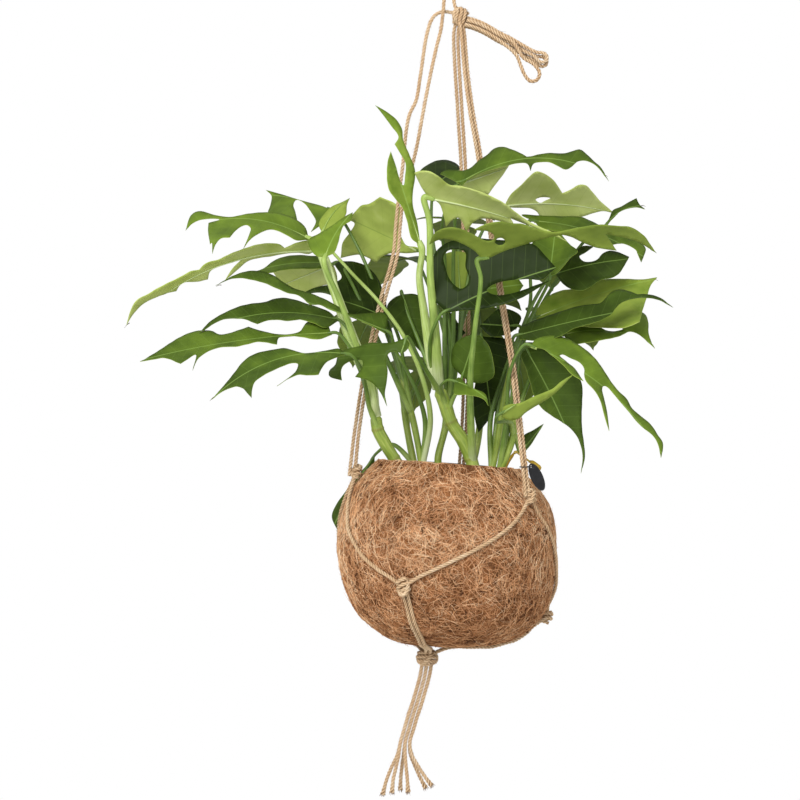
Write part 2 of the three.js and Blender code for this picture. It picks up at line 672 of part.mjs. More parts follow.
const stems = {
  leafy_stem_left: {
    foot: [-43, -9], thick: 11,
    route: [[-50, -10, -421], [-59, -13, -406], [-65, -15, -394], [-67, -16, -380]], joints: [1, 3],
    leaves: [
      { at: 0.95, base: [-128, -5, -220], tip: [-238, -30, -210], bow: 13, slope: 1.4,
        via: [[-74, -20, -350], [-89, -14, -318], [-108, -4, -262]], petiole: 7.5,
        edge: [
          [[-131, -211], [-138, -204], [-150, -198], [-166, -196], [-184, -197.5], [-200, -200.5],
            [-215, -198.5], [-229, -195.5], [-236, -200], [-240.5, -213]],
          [[-235, -207], [-228, -203.5], [-218, -202], [-209, -202.5], [-219.5, -206]],
          [[-220, -213], [-218, -226]],
          [[-216.5, -224], [-216, -234]],
          [[-213, -226], [-208, -220.5], [-200, -219.5]],
          [[-195, -213.5], [-189, -209], [-184, -208], [-181, -211], [-182.5, -217], [-188, -229.5]],
          [[-182, -221.5], [-175, -216.5], [-162, -212], [-150, -216], [-139, -221.5], [-128, -221]]] },
      { at: 0.9, base: [-121, 14, -231], tip: [-294, 0, -299], bow: 20, slope: -1.5, under: true,
        via: [[-70, -20, -350], [-83, -20, -318], [-101, -6, -270]], petiole: 5.5,
        edge: [
          [[-128, -223], [-138, -224], [-150, -229]],
          [[-155, -225.5], [-165, -224.5], [-175, -225.5], [-185, -228.5], [-200, -234], [-210, -239],
            [-222, -242.5], [-228, -248.5]],
          [[-236, -250], [-245, -255], [-258, -261.5], [-268, -267], [-276, -272], [-284, -276], [-289, -283],
            [-294.5, -299]],
          [[-290.5, -292.5], [-286, -286.5], [-278, -279], [-268, -274], [-258, -270], [-249, -268]],
          [[-246, -263], [-241, -260], [-230, -259.5], [-220, -257.5]],
          [[-218, -250], [-208, -245], [-198, -242], [-190, -239.5], [-197, -247], [-204, -258]],
          [[-192, -248], [-184, -241], [-174, -238], [-163, -236.5]],
          [[-150, -234], [-138, -233], [-128, -234], [-121, -231]]] },
      { at: 0.95, base: [-104, -15, -293.5], tip: [-226, -35, -305], bow: 11, slope: 1.6,
        via: [[-70, -26, -350], [-79, -25, -325]], edge: [
          [[-110, -287], [-120, -283], [-130, -279.5], [-141, -275.5], [-152, -274], [-161, -275.5],
            [-168, -278], [-179, -279.5], [-190, -282], [-200, -286], [-210, -291], [-219, -297],
            [-227.5, -306]],
          [[-221, -302], [-214, -297.5], [-206, -294], [-197, -293], [-187, -293.5], [-175, -298.5]],
          [[-167, -295.5], [-158, -294.5], [-147, -295.5], [-136, -294]],
          [[-124, -297], [-112, -301], [-101, -295]]] },
      { at: 0.75, base: [-107, -36, -306], tip: [-281, -60, -331], bow: 5, slope: 1.7,
        edge: [
          [[-112, -297], [-121, -294], [-130, -297], [-136, -305], [-146, -307.5], [-157, -307.5],
            [-167, -305.5], [-183, -300.5]],
          [[-192, -303.5], [-203, -307], [-210, -307.5], [-216, -305], [-226, -304.5], [-236, -306.5],
            [-246, -311], [-256, -317], [-267, -324], [-282, -332.5]],
          [[-270, -330.5], [-261, -329], [-255, -330], [-245, -334.5]],
          [[-240, -331], [-231, -326], [-234, -341]],
          [[-229, -330], [-223, -325], [-215, -321], [-205, -319], [-195, -319], [-185, -317], [-174, -314.5],
            [-157, -317]],
          [[-155.5, -311], [-147, -309], [-135, -310], [-120, -312], [-107, -308]]] },
      { at: 0.65, base: [-95, -88, -325], tip: [-216, -118, -366], bow: 15, slope: 1.4,
        edge: [
          [[-100, -321], [-112, -322.5], [-124, -324], [-134, -324.5], [-143, -322], [-151, -320],
            [-161, -321.5], [-171, -323.5], [-180, -327], [-188, -333], [-196, -343], [-205, -354],
            [-217, -367]],
          [[-209, -361], [-201, -357], [-194, -355], [-188, -357], [-184.5, -361], [-180, -366]],
          [[-179.5, -359], [-177.5, -352], [-172, -347], [-163, -342], [-153, -337.5], [-145, -334.5],
            [-138, -334.5], [-139, -340], [-145, -346], [-157, -354.5]],
          [[-146, -347.5], [-137, -344], [-128, -344.5], [-119, -344]],
          [[-116, -338], [-112, -333], [-104, -329], [-95, -326]]] },
      { at: 0.98, base: [-113, -76, -237], tip: [-89, -44, -197], bow: 3, slope: 0.8,
        via: [[-69, -30, -368], [-74, -34, -345], [-82, -42, -325], [-99, -64, -278]], petiole: 7.5,
        edge: [
          [[-121, -236], [-127, -229], [-128, -221], [-118, -215], [-108, -209], [-98, -202], [-88, -196]],
          [[-89, -203], [-96, -208], [-99, -215], [-101, -224], [-105, -233], [-113, -237]]] },
    ] },
  leafy_stem_slim: {
    foot: [-24, 14], thick: 6,
    route: [[-26, 14, -421], [-33, 17, -385], [-44, 22, -345]],
    leaves: [
      { base: [-108, 60, -193], tip: [-164, 90, -180], bow: 2, slope: 1.2,
        edge: [
          [[-118, -189.5], [-128, -187], [-140, -183.5], [-152, -180], [-167, -176]],
          [[-162, -181], [-163, -189], [-165.5, -197], [-163, -205], [-150, -210]],
          [[-139, -206], [-140, -197], [-142, -189], [-139, -184.5], [-132, -188], [-126, -196],
            [-121.5, -204], [-126, -214]],
          [[-116, -206], [-108, -193]]] },
      { base: [-106, 62, -243], tip: [-178, 84, -250], bow: 4, slope: 1.6,
        via: [[-66, 8, -310], [-92, 30, -255]], edge: [
          [[-112, -238], [-126, -236], [-138, -235], [-150, -236.5], [-160, -240.5], [-168, -246.5],
            [-181, -251.5]],
          [[-165, -251.5], [-152, -249], [-138, -248], [-124, -248], [-106, -246]]] },
      { at: 0.05, base: [-115, 28, -214], tip: [-92, 50, -185], bow: 3, slope: 0.6,
        via: [[-17, 3, -385], [-25, -4, -345], [-42, -12, -308], [-64, -17, -278], [-92, 4, -248]],
        under: true, edge: [
          [[-119, -207], [-114, -198], [-107, -191], [-99, -187.5], [-90.5, -183.5]],
          [[-93, -189], [-94, -198], [-100, -206], [-108, -214], [-115, -216]]] },
      { base: [-106, 86, -243], tip: [-152, 100, -262], bow: 0, slope: -0.8, under: true,
        edge: [
          [[-116, -238], [-130, -240], [-145, -244], [-161, -250]],
          [[-157, -256], [-150, -262], [-142, -266], [-130, -270.5]],
          [[-122, -266], [-112, -262], [-101.5, -262.5]],
          [[-102.5, -252], [-106, -243]]] },
      { base: [-58, 8, -292], tip: [-134, 20, -271], bow: 4, slope: 0.9, edge: [
          [[-57, -282], [-60, -268], [-66, -255], [-77, -245], [-90, -241], [-104, -243], [-98, -256],
            [-108, -262], [-118, -264], [-126, -266.5], [-137, -272]],
          [[-126, -270], [-116, -269.5], [-107, -272], [-99, -275]],
          [[-97, -281], [-99, -287], [-90, -292], [-75, -296], [-58, -295]]] },
      { at: 0.05, base: [-58, -35, -304], tip: [-210, -60, -262], bow: 6, slope: 1.5,
        via: [[-22, 8, -385], [-36, -4, -345], [-50, -22, -320]], edge: [
          [[-57, -289], [-75, -288.5], [-90, -289], [-100, -283], [-112, -276], [-126, -270], [-140, -266],
            [-150, -261], [-160, -254.5], [-170, -250.5], [-183, -250], [-196, -254], [-213, -263]],
          [[-200, -257.5], [-190, -256.5], [-178, -258.5], [-168, -261], [-156, -266], [-146, -270],
            [-138, -271.5], [-126.5, -280.5]],
          [[-118, -280.5], [-108, -285], [-98, -288.5], [-88, -291.5], [-76, -297], [-58, -307]]] },
    ] },
  leafy_stem_middle: {
    foot: [24, -8], thick: 12,
    route: [[20, -8, -421], [13, -8, -405], [2, -8, -388], [-4, -8, -370], [-10, -8, -356]], joints: [1, 3],
    leaves: [
      { at: 0.9, base: [-40, -88, -314], tip: [-60, -110, -370], bow: 0, slope: 0.5,
        via: [[-27, -62, -330]],
        edge: [
          [[-42, -324.5], [-36, -317], [-40, -311.5], [-50, -315], [-62, -315.5], [-72, -315], [-83, -319],
            [-94, -321.5], [-101, -326], [-104, -335], [-109, -341], [-109, -346], [-98, -349.5]],
          [[-99, -342], [-97, -336], [-91, -332.5], [-85, -331.5], [-79, -331.5], [-78.5, -337],
            [-85.5, -346.5]],
          [[-76, -349], [-69, -353], [-63, -360], [-56.5, -373.5]],
          [[-58.5, -362], [-57, -352], [-56, -340], [-57.5, -331], [-55, -325], [-50, -323]]] },
      { at: 0.99, base: [-17, -84, -183], tip: [104, -98, -220], bow: 4, slope: -1.1, under: true,
        via: [[-11, -26, -330], [-14, -50, -290], [-17, -66, -255], [-18, -80, -204]], petiole: 7.5, edge: [
          [[-22, -178], [-28, -168], [-31.5, -160.5]],
          [[-25, -158.5], [-16, -159.5], [-8, -164.5], [0, -171], [10, -172], [24, -175.5], [38, -181],
            [51, -188], [61, -196], [72, -204], [86, -211], [98, -216], [108, -223]],
          [[95, -217], [82, -211.5], [68, -206], [56, -201]],
          [[59, -208], [46, -204], [34, -202], [24, -204], [16, -213.5]],
          [[13, -206], [9, -201], [3, -203], [-2.5, -209]],
          [[-5, -198], [-9, -188], [-17, -183]]] },
      { at: 0.9, base: [-2, -60, -286], tip: [96, -66, -247], bow: 3, slope: 0.4, curl: 0.004,
        edge: [
          [[-9, -281], [-16, -275], [-17.5, -262], [-17, -246], [-13, -234], [-3, -225], [15, -220],
            [40, -221], [62, -223], [78, -226], [88, -236], [98, -247]],
          [[92, -252], [85, -257.5], [72, -257], [58, -258], [46, -260], [38, -263.5], [34.5, -267],
            [38, -270.5], [46, -272], [57, -270.5], [68, -267], [78, -263], [93, -258]],
          [[80, -266], [68, -273.5], [55, -279], [40, -283], [25, -285.5], [10, -286], [-2, -288]]],
        holes: [[[-5, -237], [-3, -247], [0, -256], [5, -262.5], [11, -266], [17, -262], [18, -255],
            [15, -246], [15, -233], [7, -230], [-1, -231.5]]] },
      { at: 0.99, base: [-26, -44, -226], tip: [-66, -48, -100], bow: 0, slope: 0.5,
        via: [[-16, -18, -330], [-23, -28, -285], [-27, -34, -255]], petiole: 8,
        edge: [
          [[-29, -206], [-33, -190], [-33, -178], [-31, -166], [-31, -157], [-36, -144], [-42, -130],
            [-43, -121], [-48, -112], [-57, -104.5], [-67, -98.5]],
          [[-60, -107.5], [-53, -117], [-46, -127.5], [-49.5, -134]],
          [[-44, -143], [-39.5, -151], [-40, -163], [-41.5, -172], [-45, -166], [-48, -155], [-53, -140.5]],
          [[-56, -151], [-55.5, -174], [-49, -184], [-43, -191], [-38, -205], [-34, -220], [-26, -226]]] },
      { at: 0.7, base: [5, -68, -350], tip: [34, -80, -366], bow: 2, slope: 0.9,
        edge: [
          [[9, -347], [16, -353], [25, -358], [32, -361], [35, -366], [36, -373]],
          [[32, -367], [25, -364], [15, -363], [5, -362], [5, -350]]] },
      { at: 0.6, base: [12, -22, -346], tip: [24, -34, -308], bow: 0, slope: 0.4,
        edge: [
          [[3, -336], [2, -326], [5, -317], [12, -311], [20, -308], [28, -308.5]],
          [[34, -315], [39, -325], [41, -336], [40, -346], [30, -352], [20, -351], [12, -346]]] },
      { at: 0.85, base: [-42, 20, -272], tip: [-23, 2, -328], bow: 0, slope: 0.5,
        edge: [
          [[-50, -274], [-56, -281], [-55, -291], [-48, -301], [-38, -311], [-20, -329]],
          [[-19, -310], [-20, -290], [-24, -276], [-31, -271], [-42, -271]]] },
      { at: 0.12, base: [31, -90, -238], tip: [187, -104, -231], bow: 6, slope: -1.0, under: true,
        via: [[20, -28, -390], [19.5, -48, -350], [24, -76, -300], [29, -88, -256]], petiole: 5.5,
        edge: [
          [[24, -232], [14, -226], [4, -222], [-7, -221], [-18, -225.5]],
          [[-14, -217], [-6, -211.5], [4, -210], [14, -212.5], [24, -217.5], [34, -222.5], [40, -222],
            [41, -217], [37, -213.5], [23, -212]],
          [[30, -208], [38, -205.5], [48, -204.5], [56, -206], [66, -206.5], [76, -209.5], [86, -212.5],
            [98, -214], [112, -211.5], [125, -209.5], [138, -208], [152, -209], [166, -210], [173, -214],
            [179, -219], [184, -226], [189.5, -233.5]],
          [[181, -228], [172, -223], [160, -219.5], [143, -216.3]],
          [[147, -222], [153, -231]],
          [[141, -229.5], [131, -227], [121, -223], [112, -218.5], [104, -216.5], [92, -218.5], [80, -222],
            [66, -226.5], [52, -231], [40, -236], [31, -240]]],
        holes: [[[42, -224], [44, -220], [48.5, -219.5], [51.5, -223], [49.5, -226], [45, -226.5]]] },
    ] },
  leafy_stem_behind: {
    foot: [-8, 22], thick: 6.5,
    route: [[-10, 22, -421], [-3, 23, -392], [2, 25, -365]],
    leaves: [
      { at: 0.55, base: [-29, 35, -230.5], tip: [-88, 65, -203], bow: 0, slope: -1.0, under: true,
        edge: [
          [[-30, -228], [-39, -226], [-44, -218], [-46, -211], [-43, -203], [-43, -194], [-52, -187],
            [-63, -182]],
          [[-73, -188.5], [-80, -190], [-86, -196], [-92.5, -203]],
          [[-86, -206], [-90, -214], [-97, -224], [-99, -238]],
          [[-90, -236], [-82, -235], [-73, -238], [-66, -242]],
          [[-60, -236], [-50, -233], [-38, -233.5], [-22, -232]]] },
      { at: 0.6, base: [-12, 58, -171], tip: [14, 108, -156], bow: 2, slope: 1.1,
        edge: [
          [[-22, -168], [-27, -160], [-20, -153], [-12, -149], [-3, -148.5], [5, -151], [11, -156],
            [17, -163]],
          [[12, -172], [0, -177], [-12, -174]]] },
      { at: 0.66, base: [12, -54, -168], tip: [144, -66, -163], bow: 19, slope: 1.2,
        via: [[-4, 22, -300], [-4, 14, -238], [-6, -16, -206]], edge: [
          [[6, -168], [-4, -163], [-8, -161], [0, -157.5], [9, -158.5], [18, -157], [27, -149.5],
            [35, -143.5], [40, -138.5], [48, -136], [57, -138.5], [66, -142.5], [71, -145.5]],
          [[76, -145], [81, -143.5], [92, -142], [105, -142.5], [113, -140.5], [120, -139.5],
            [127, -145], [133, -150.5], [139, -156], [146, -168]],
          [[138, -157.5], [131, -151.5], [123, -149], [117, -150], [112, -154.5], [106, -157], [100, -154],
            [92, -150.5], [82, -150.5], [77, -152], [74.5, -159]],
          [[71.5, -152], [62, -151.5], [54, -153.5]],
          [[42, -156.5], [30, -160], [20, -164], [12, -172]]] },
      { at: 0.72, base: [50, 48, -190], tip: [150, 86, -196], bow: 5, slope: -0.9, under: true,
        edge: [
          [[56, -181], [65, -172], [73, -163.5], [80, -159], [88, -161.5], [96, -167.5], [103.5, -178.5]],
          [[112, -175], [119, -171.5], [125, -172], [131, -178], [138, -186], [145, -192], [151, -197]],
          [[141, -195], [131, -197], [119, -201]],
          [[108, -202], [95, -201], [84, -200.5], [80, -195.5], [74, -192.5], [62, -192], [50, -191.5]]],
        holes: [[[79, -184.5], [83, -182.5], [93, -183], [88, -185.5], [83, -187.5]]] },
      { at: 0.78, base: [-30, 100, -240], tip: [-64, 200, -264], half: 40 },
      { at: 0.84, base: [10, -38, -170], tip: [54, -36, -155], bow: 0, slope: -0.4, under: true,
        via: [[4, 20, -300], [4, 6, -238], [6, -22, -198]], edge: [
          [[16, -163], [30, -158], [43, -155], [55.5, -152]],
          [[50, -161], [43, -170], [36, -180]],
          [[26, -177], [14, -174], [4, -172], [10, -170]]] },
      { at: 0.9, base: [5, 40, -303], tip: [2, 36, -345], bow: 0, slope: 0.3, edge: [
          [[5, -292], [10, -300], [15, -306]],
          [[8, -314], [3, -322], [2, -335], [0, -348]],
          [[-3, -335], [-4, -310], [0, -286]]] },
      { at: 0.95, base: [10, 32, -269], tip: [8, 36, -233], bow: 0, slope: 0.3, under: true,
        edge: [
          [[-4, -262], [-8, -248], [-6, -236], [4, -232], [18, -234], [26, -242], [26, -256], [18, -268],
            [6, -270]]] },
      { at: 0.5, base: [34, 40, -266], tip: [66, 44, -262], bow: 0, slope: 0.5, edge: [
          [[30, -258], [44, -253], [60, -254], [68, -263]],
          [[60, -273], [46, -275], [34, -273]]] },
    ] },
  leafy_stem_right: {
    foot: [38, 4], thick: 6,
    route: [[41, 4, -424], [46, 2, -395], [52, 0, -360], [58, 0, -335]],
    leaves: [
      { at: 0.2, base: [78, 20, -204], tip: [176, 25, -236], bow: 7, slope: 1.5,
        via: [[46, 14, -370], [58, 20, -325], [74, 22, -280]],
        edge: [
          [[66, -198.5], [85, -199.5], [105, -200], [120, -200], [130, -204], [142, -210], [156, -216],
            [168, -221.5], [176, -225], [179.5, -230], [178, -236], [175.5, -242]],
          [[173, -236], [171, -231], [167, -228], [158, -224.5], [150, -225.5]],
          [[140, -221], [125, -216], [110, -214.5], [95, -213], [82, -209], [78, -204]]] },
      { base: [144, 52, -206], tip: [176, 62, -190], bow: 4, slope: 1.2,
        via: [[66, 32, -318], [96, 66, -262], [126, 66, -220]], edge: [
          [[147, -200], [149.5, -194.5], [157, -191], [164, -187], [171, -183.5]],
          [[173.5, -188.5], [179, -193.5]],
          [[171, -191.5], [163, -192.5], [155, -196], [150.5, -201], [144, -207]]] },
      { at: 0.1, base: [80, 32, -292], tip: [188, 42, -257], bow: 3, slope: 1.1,
        via: [[38, 8, -385], [48, 14, -350], [60, 24, -318]],
        edge: [
          [[80, -286], [85, -279], [92, -272], [102, -267.5], [114, -266], [125, -266], [132, -260.5],
            [141, -257.5], [160, -257], [177, -257.5], [190, -255.5]],
          [[184, -263], [181, -272], [178, -282], [174, -296]],
          [[160, -301], [140, -301], [120, -300], [100, -299], [80, -296]]] },
      { base: [98, 25, -252], tip: [162, 40, -239], bow: 2, slope: 1.2,
        edge: [
          [[103, -246], [110, -238], [116, -231], [122, -227], [132, -227.5]],
          [[124, -233], [119, -236], [122, -240.5], [128, -241.5], [135, -239.5], [140, -234], [147, -231.5],
            [155, -233], [164.5, -237]],
          [[160, -245], [155, -252], [149, -256], [138, -258.5], [131, -263], [122, -267], [112, -266],
            [104, -261], [98, -254]]] },
      { base: [92, -20, -254], tip: [97, 12, -213], bow: 0, slope: 0.4,
        via: [[60, 4, -330], [72, 2, -298]], edge: [
          [[98, -252], [104, -246], [111, -238], [118, -232], [111, -226], [104, -218], [98, -210]],
          [[88, -214], [80, -219], [76, -225], [76, -232], [80, -239], [86, -245], [92, -254]]] },
    ] },
  leafy_stem_far_right: {
    foot: [44, -14], thick: 6.5,
    route: [[49, -17, -427], [58, -20, -402], [60, -22, -380]],
    leaves: [
      { at: 0.2, base: [64, -30, -308], tip: [200, -50, -279], bow: 2, slope: 1.3,
        via: [[57, -26, -370], [59, -28, -335]],
        edge: [
          [[64, -303], [75, -296.5], [88, -291.5], [103, -286], [118, -281.5], [130, -280], [138, -279],
            [143, -275], [149, -269], [156, -267], [164, -268.5], [172, -271.5]],
          [[182, -271.5], [193, -274.5], [204.5, -283]],
          [[192, -276.5], [180, -274.5], [168, -275.5], [157, -279], [152, -284], [147, -290], [138, -295],
            [126, -299], [114, -302.5], [104, -308], [92, -312], [78, -313], [64, -312]]] },
      { base: [104, 5, -308], tip: [185, 0, -316], bow: 8, slope: 1.4,
        edge: [
          [[110, -303], [122, -299], [135, -296.5], [137.5, -300.5], [143, -303.5], [152, -304.5],
            [159, -302.5], [152, -298.5], [143.5, -293]],
          [[150, -287], [157, -282.5], [165, -282.5], [174, -286], [180, -290], [182, -297], [182, -306],
            [184, -313], [188, -320.5]],
          [[180, -313], [172, -307], [165, -305], [156, -309], [145, -312], [130, -314.5], [117, -316]],
          [[109, -313], [104, -308]]] },
      { at: 0.1, base: [75, -66, -318], tip: [192, -84, -414], bow: 13, slope: 1.1,
        via: [[53, -36, -380], [55, -50, -345], [63, -62, -324]], edge: [
          [[78, -313], [88, -309.5], [98, -309], [108, -311], [118, -316.5], [127, -323], [135, -331],
            [142, -341], [149, -352], [156, -360.5], [162, -366], [167, -375], [176, -383], [184, -390],
            [190, -399], [195, -407], [195, -414], [193.5, -420.5]],
          [[191.5, -410], [187, -401], [179, -394], [171, -386.5], [164, -377.5], [157, -369.5],
            [150, -361.5], [145, -356], [141.5, -354.5], [139.8, -357], [141.5, -367], [144, -379],
            [146, -396]],
          [[141, -380], [137, -366], [131, -357], [125, -350.5], [123.5, -345], [123.5, -339], [119, -333],
            [111, -329.5], [104, -326], [101, -327], [107, -332], [114, -338], [122.5, -350.5]],
          [[113, -345], [104, -335.5], [95, -327.5], [86, -321], [75, -319]]] },
      { base: [72, -10, -324], tip: [121, -20, -430], bow: 3, slope: 0.5,
        edge: [
          [[66, -326], [70, -338], [74, -351], [78, -365], [84, -374.5], [94, -382], [103, -387.5],
            [111, -393.5], [117, -401], [120.5, -410], [122, -419], [120.5, -434.5]],
          [[124, -420], [123.2, -408], [121.5, -395], [121, -382], [121.5, -368], [121.5, -355], [118, -345],
            [112, -338], [104, -332], [94, -325], [84, -320], [72, -320]]] },
      { base: [48, -74, -379], tip: [110, -82, -347], bow: 2, slope: -0.8, under: true,
        edge: [
          [[50, -374], [56, -371.5], [66, -370], [76, -365], [86, -361], [95, -357], [103, -350],
            [113, -344.5]],
          [[105, -353], [97, -361], [88, -368], [78, -374], [70, -379], [64, -384], [56, -386],
            [48, -383]]] },
      { base: [69, -5, -411], tip: [86, 0, -390], bow: 0, slope: 0.7,
        edge: [
          [[67.5, -406], [68, -400], [76, -395.5], [86.5, -389]],
          [[81, -398], [75, -408], [69, -415]]] },
    ] },
  leafy_stem_back_left: {
    foot: [-30, 38], thick: 6.5,
    route: [[-32, 40, -425], [-38, 48, -395], [-42, 56, -365]],
    leaves: [
      { base: [-62, 78, -285], tip: [-88, 150, -338], half: 38 },
      { base: [-20, 80, -330], tip: [-32, 160, -378], half: 34, cuts: "late" },
      { at: 0.3, base: [-69, 66, -420], tip: [-104, 66, -480], bow: 2, slope: 0.2,
        via: [[-52, 56, -408]], edge: [
          [[-76, -428], [-87, -441], [-96, -453], [-103, -463], [-107, -474], [-101, -488]],
          [[-92, -482], [-84, -468], [-75, -452], [-68, -436], [-68, -420]]] },
    ] },
  withered_leaf: {
    foot: [50, 12], thick: 3, colour: "withered",
    route: [[53, 12, -426], [60, 11, -415]],
    leaves: [
      { at: 0.97, base: [73, 8, -423], tip: [83, 2, -430], bow: 0, slope: 0.5,
        petiole: 2.2, edge: [
          [[76, -422.5], [81, -425.5], [84.5, -429], [80, -435]],
          [[77, -430], [73, -423]]] },
    ] },
  leafy_stem_back_right: {
    foot: [20, 40], thick: 6.5,
    route: [[22, 42, -425], [28, 50, -392], [30, 58, -360]],
    leaves: [
      { base: [5, 95, -203], tip: [8, 200, -236], half: 40 },
      { base: [62, 82, -228], tip: [95, 180, -268], half: 40 },
      { base: [25, 92, -270], tip: [32, 165, -345], half: 42 },
      { base: [90, 72, -285], tip: [132, 150, -322], half: 36 },
      { base: [56, 80, -318], tip: [70, 145, -372], half: 34, cuts: "late" },
      { base: [30, 46, -312], tip: [40, 40, -392], bow: 0, slope: 0.3, edge: [
          [[36, -310], [48, -311], [60, -314], [66, -324], [62, -340], [54, -358], [46, -372],
            [36, -386], [27, -397]],
          [[24, -385], [22, -365], [24, -350], [22, -330], [27, -309]]] },
      { base: [60, 46, -300], tip: [28, 44, -298], bow: 0, slope: 0.4, edge: [
          [[66, -292], [58, -286], [46, -284], [36, -292], [28, -300]],
          [[38, -309], [52, -308], [62, -302]]] },
    ] },
};

const stemSolids = Object.entries(stems).map(([name, stem]) => (
  { name, colour: stem.colour ?? "leaf", solid: leafyStem(stem) }
));

// The soil, with a hole for each stem's root end
function soilGeometry() {
  let rest = solidOf(turned(soilProfile(), innerSides));
  Object.values(stems).forEach(({ foot, thick }) => {
    const ends = [-soilBelowRim - rootDepth - touching, growTop];
    const hole = tube(ends.map((z) => new THREE.Vector3(...foot, z)), thick + 2 * stemHole, stemSides, 1);
    rest = rest.subtract(solidOf(hole));
  });
  return geometryOf(rest);
}

// The plant label: a bare oval plate on a wire ring round the right pair of cords
const label = { half: [6.8, 14.5], thick: 1, holeRadius: 1.2, holeFromEnd: 2.7, height: -427 };
const tie = { half: [6.5, 3.3], shift: 1.9, radius: 0.5, sides: 5, steps: 14 };

function labelFrame() {
  const across = vector(rightPairAcross).normalize();
  const up = new THREE.Vector3(0, 0, 1);
  const out = new THREE.Vector3().crossVectors(up, across);
  const [one, two] = pairOf(legRight, rightPairAcross).map((points) => {
    const curve = new Route(points, false, "centripetal");
    let best = curve.getPoint(0);
    for (let i = 1; i <= 400; i += 1) {
      const place = curve.getPoint(i / 400);
      if (Math.abs(place.z - label.height) < Math.abs(best.z - label.height)) best = place;
    }
    return best;
  });
  return { across, up, out, middle: one.clone().lerp(two, 0.5).addScaledVector(across, tie.shift) };
}

function tieGeometry() {
  const { across, up, out, middle } = labelFrame();
  const geometry = new THREE.TorusGeometry(1, 0.25, tie.sides, tie.steps);
  const place = geometry.attributes.position;
  for (let i = 0; i < place.count; i += 1) {
    const [x, y, z] = [place.getX(i), place.getY(i), place.getZ(i)];
    const turn = Math.atan2(y, x);
    const round = Math.atan2(z, Math.hypot(x, y) - 1);
    const [a, b] = tie.half;
    const away = new THREE.Vector2(Math.cos(turn) / a, Math.sin(turn) / b).normalize();
    const rim = new THREE.Vector2(Math.cos(turn) * a, Math.sin(turn) * b);
    rim.addScaledVector(away, Math.cos(round) * tie.radius);
    const moved = middle.clone().addScaledVector(across, rim.x).addScaledVector(out, rim.y);
    moved.addScaledVector(up, Math.sin(round) * tie.radius);
    place.setXYZ(i, moved.x, moved.y, moved.z);
  }
  return geometry;
}

function labelGeometry() {
  const { across, up, out, middle } = labelFrame();
  const long = across.clone().multiplyScalar(0.6).addScaledVector(up, -0.8);
  const wide = new THREE.Vector3().crossVectors(out, long);
  const shape = new THREE.Shape().absellipse(0, 0, ...label.half, 0, 2 * Math.PI, false);
  const fromMiddle = label.half[1] - label.holeFromEnd;
  shape.holes.push(new THREE.Path().absarc(0, fromMiddle, label.holeRadius, 0, 2 * Math.PI, true));
  const plate = { depth: label.thick, curveSegments: 8, bevelEnabled: false };
  const geometry = new THREE.ExtrudeGeometry(shape, plate);
  geometry.translate(0, -fromMiddle, -label.thick / 2);
  const hang = middle.clone().addScaledVector(across, tie.half[0]);
  return geometry.applyMatrix4(new THREE.Matrix4().makeBasis(wide, long.negate(), out).setPosition(hang));
}

// Putting it together
add("coir_pot", coirPot(), colours.coir, 0.95);
add("grow_pot", turned(growPotProfile(), innerSides), colours.black, 0.5, potGroup);
add("soil", soilGeometry(), colours.soil, 1, potGroup);
Object.entries(knots).forEach(([name, knot]) => add(name, geometryOf(knotSolid(knot)), colours.jute));
add("hanging_loop", geometryOf(longest(knotted(hangingLoop()))), colours.jute);
Object.entries({ ...legRoutes(), ...slingRoutes(), ...footRoutes() }).forEach(([name, route]) => {
  add(name, geometryOf(longest(knotted(tube(route, cord, cordSides, 1)))), colours.jute);
});
Object.entries(tails).forEach(([name, tail]) => {
  add(name, geometryOf(longest(knotted(tube(tailRoute(tail), cord, looseSides, 1)))), colours.jute);
});
tasselEnds.forEach((end, i) => {
  const geometry = tube(tasselRoute(end), cord, looseSides, 1);
  add(`tassel_cord_${i + 1}`, geometryOf(longest(knotted(geometry))), colours.jute);
});
stemSolids.forEach(({ name, colour, solid }) => add(name, geometryOf(solid), colours[colour], 0.45));
add("plant_label", geometryOf(solidOf(labelGeometry())), colours.black, 0.3);
add("label_tie", tieGeometry(), colours.black, 0.4);

export default group;
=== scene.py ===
import math
import bmesh
import bpy
import numpy as np
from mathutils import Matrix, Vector
from mathutils.geometry import delaunay_2d_cdt


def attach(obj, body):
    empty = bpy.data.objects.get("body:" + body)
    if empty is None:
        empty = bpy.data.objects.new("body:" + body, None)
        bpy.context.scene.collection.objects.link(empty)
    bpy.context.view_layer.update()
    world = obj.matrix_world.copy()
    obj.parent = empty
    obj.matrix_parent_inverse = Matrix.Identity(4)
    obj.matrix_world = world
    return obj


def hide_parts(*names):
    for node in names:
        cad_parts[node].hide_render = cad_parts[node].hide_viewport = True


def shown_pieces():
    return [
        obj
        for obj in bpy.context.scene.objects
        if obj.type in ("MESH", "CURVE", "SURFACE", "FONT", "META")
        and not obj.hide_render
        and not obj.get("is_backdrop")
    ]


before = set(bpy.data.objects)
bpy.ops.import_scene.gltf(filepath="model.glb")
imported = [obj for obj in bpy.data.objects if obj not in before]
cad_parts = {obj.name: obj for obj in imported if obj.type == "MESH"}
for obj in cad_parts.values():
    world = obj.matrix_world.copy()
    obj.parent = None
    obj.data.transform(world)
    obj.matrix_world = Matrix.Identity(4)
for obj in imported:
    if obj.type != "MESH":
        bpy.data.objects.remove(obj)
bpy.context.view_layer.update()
scene = bpy.context.scene
mm = 0.001  # the sizes below are in millimetres, and every mesh is made in metres

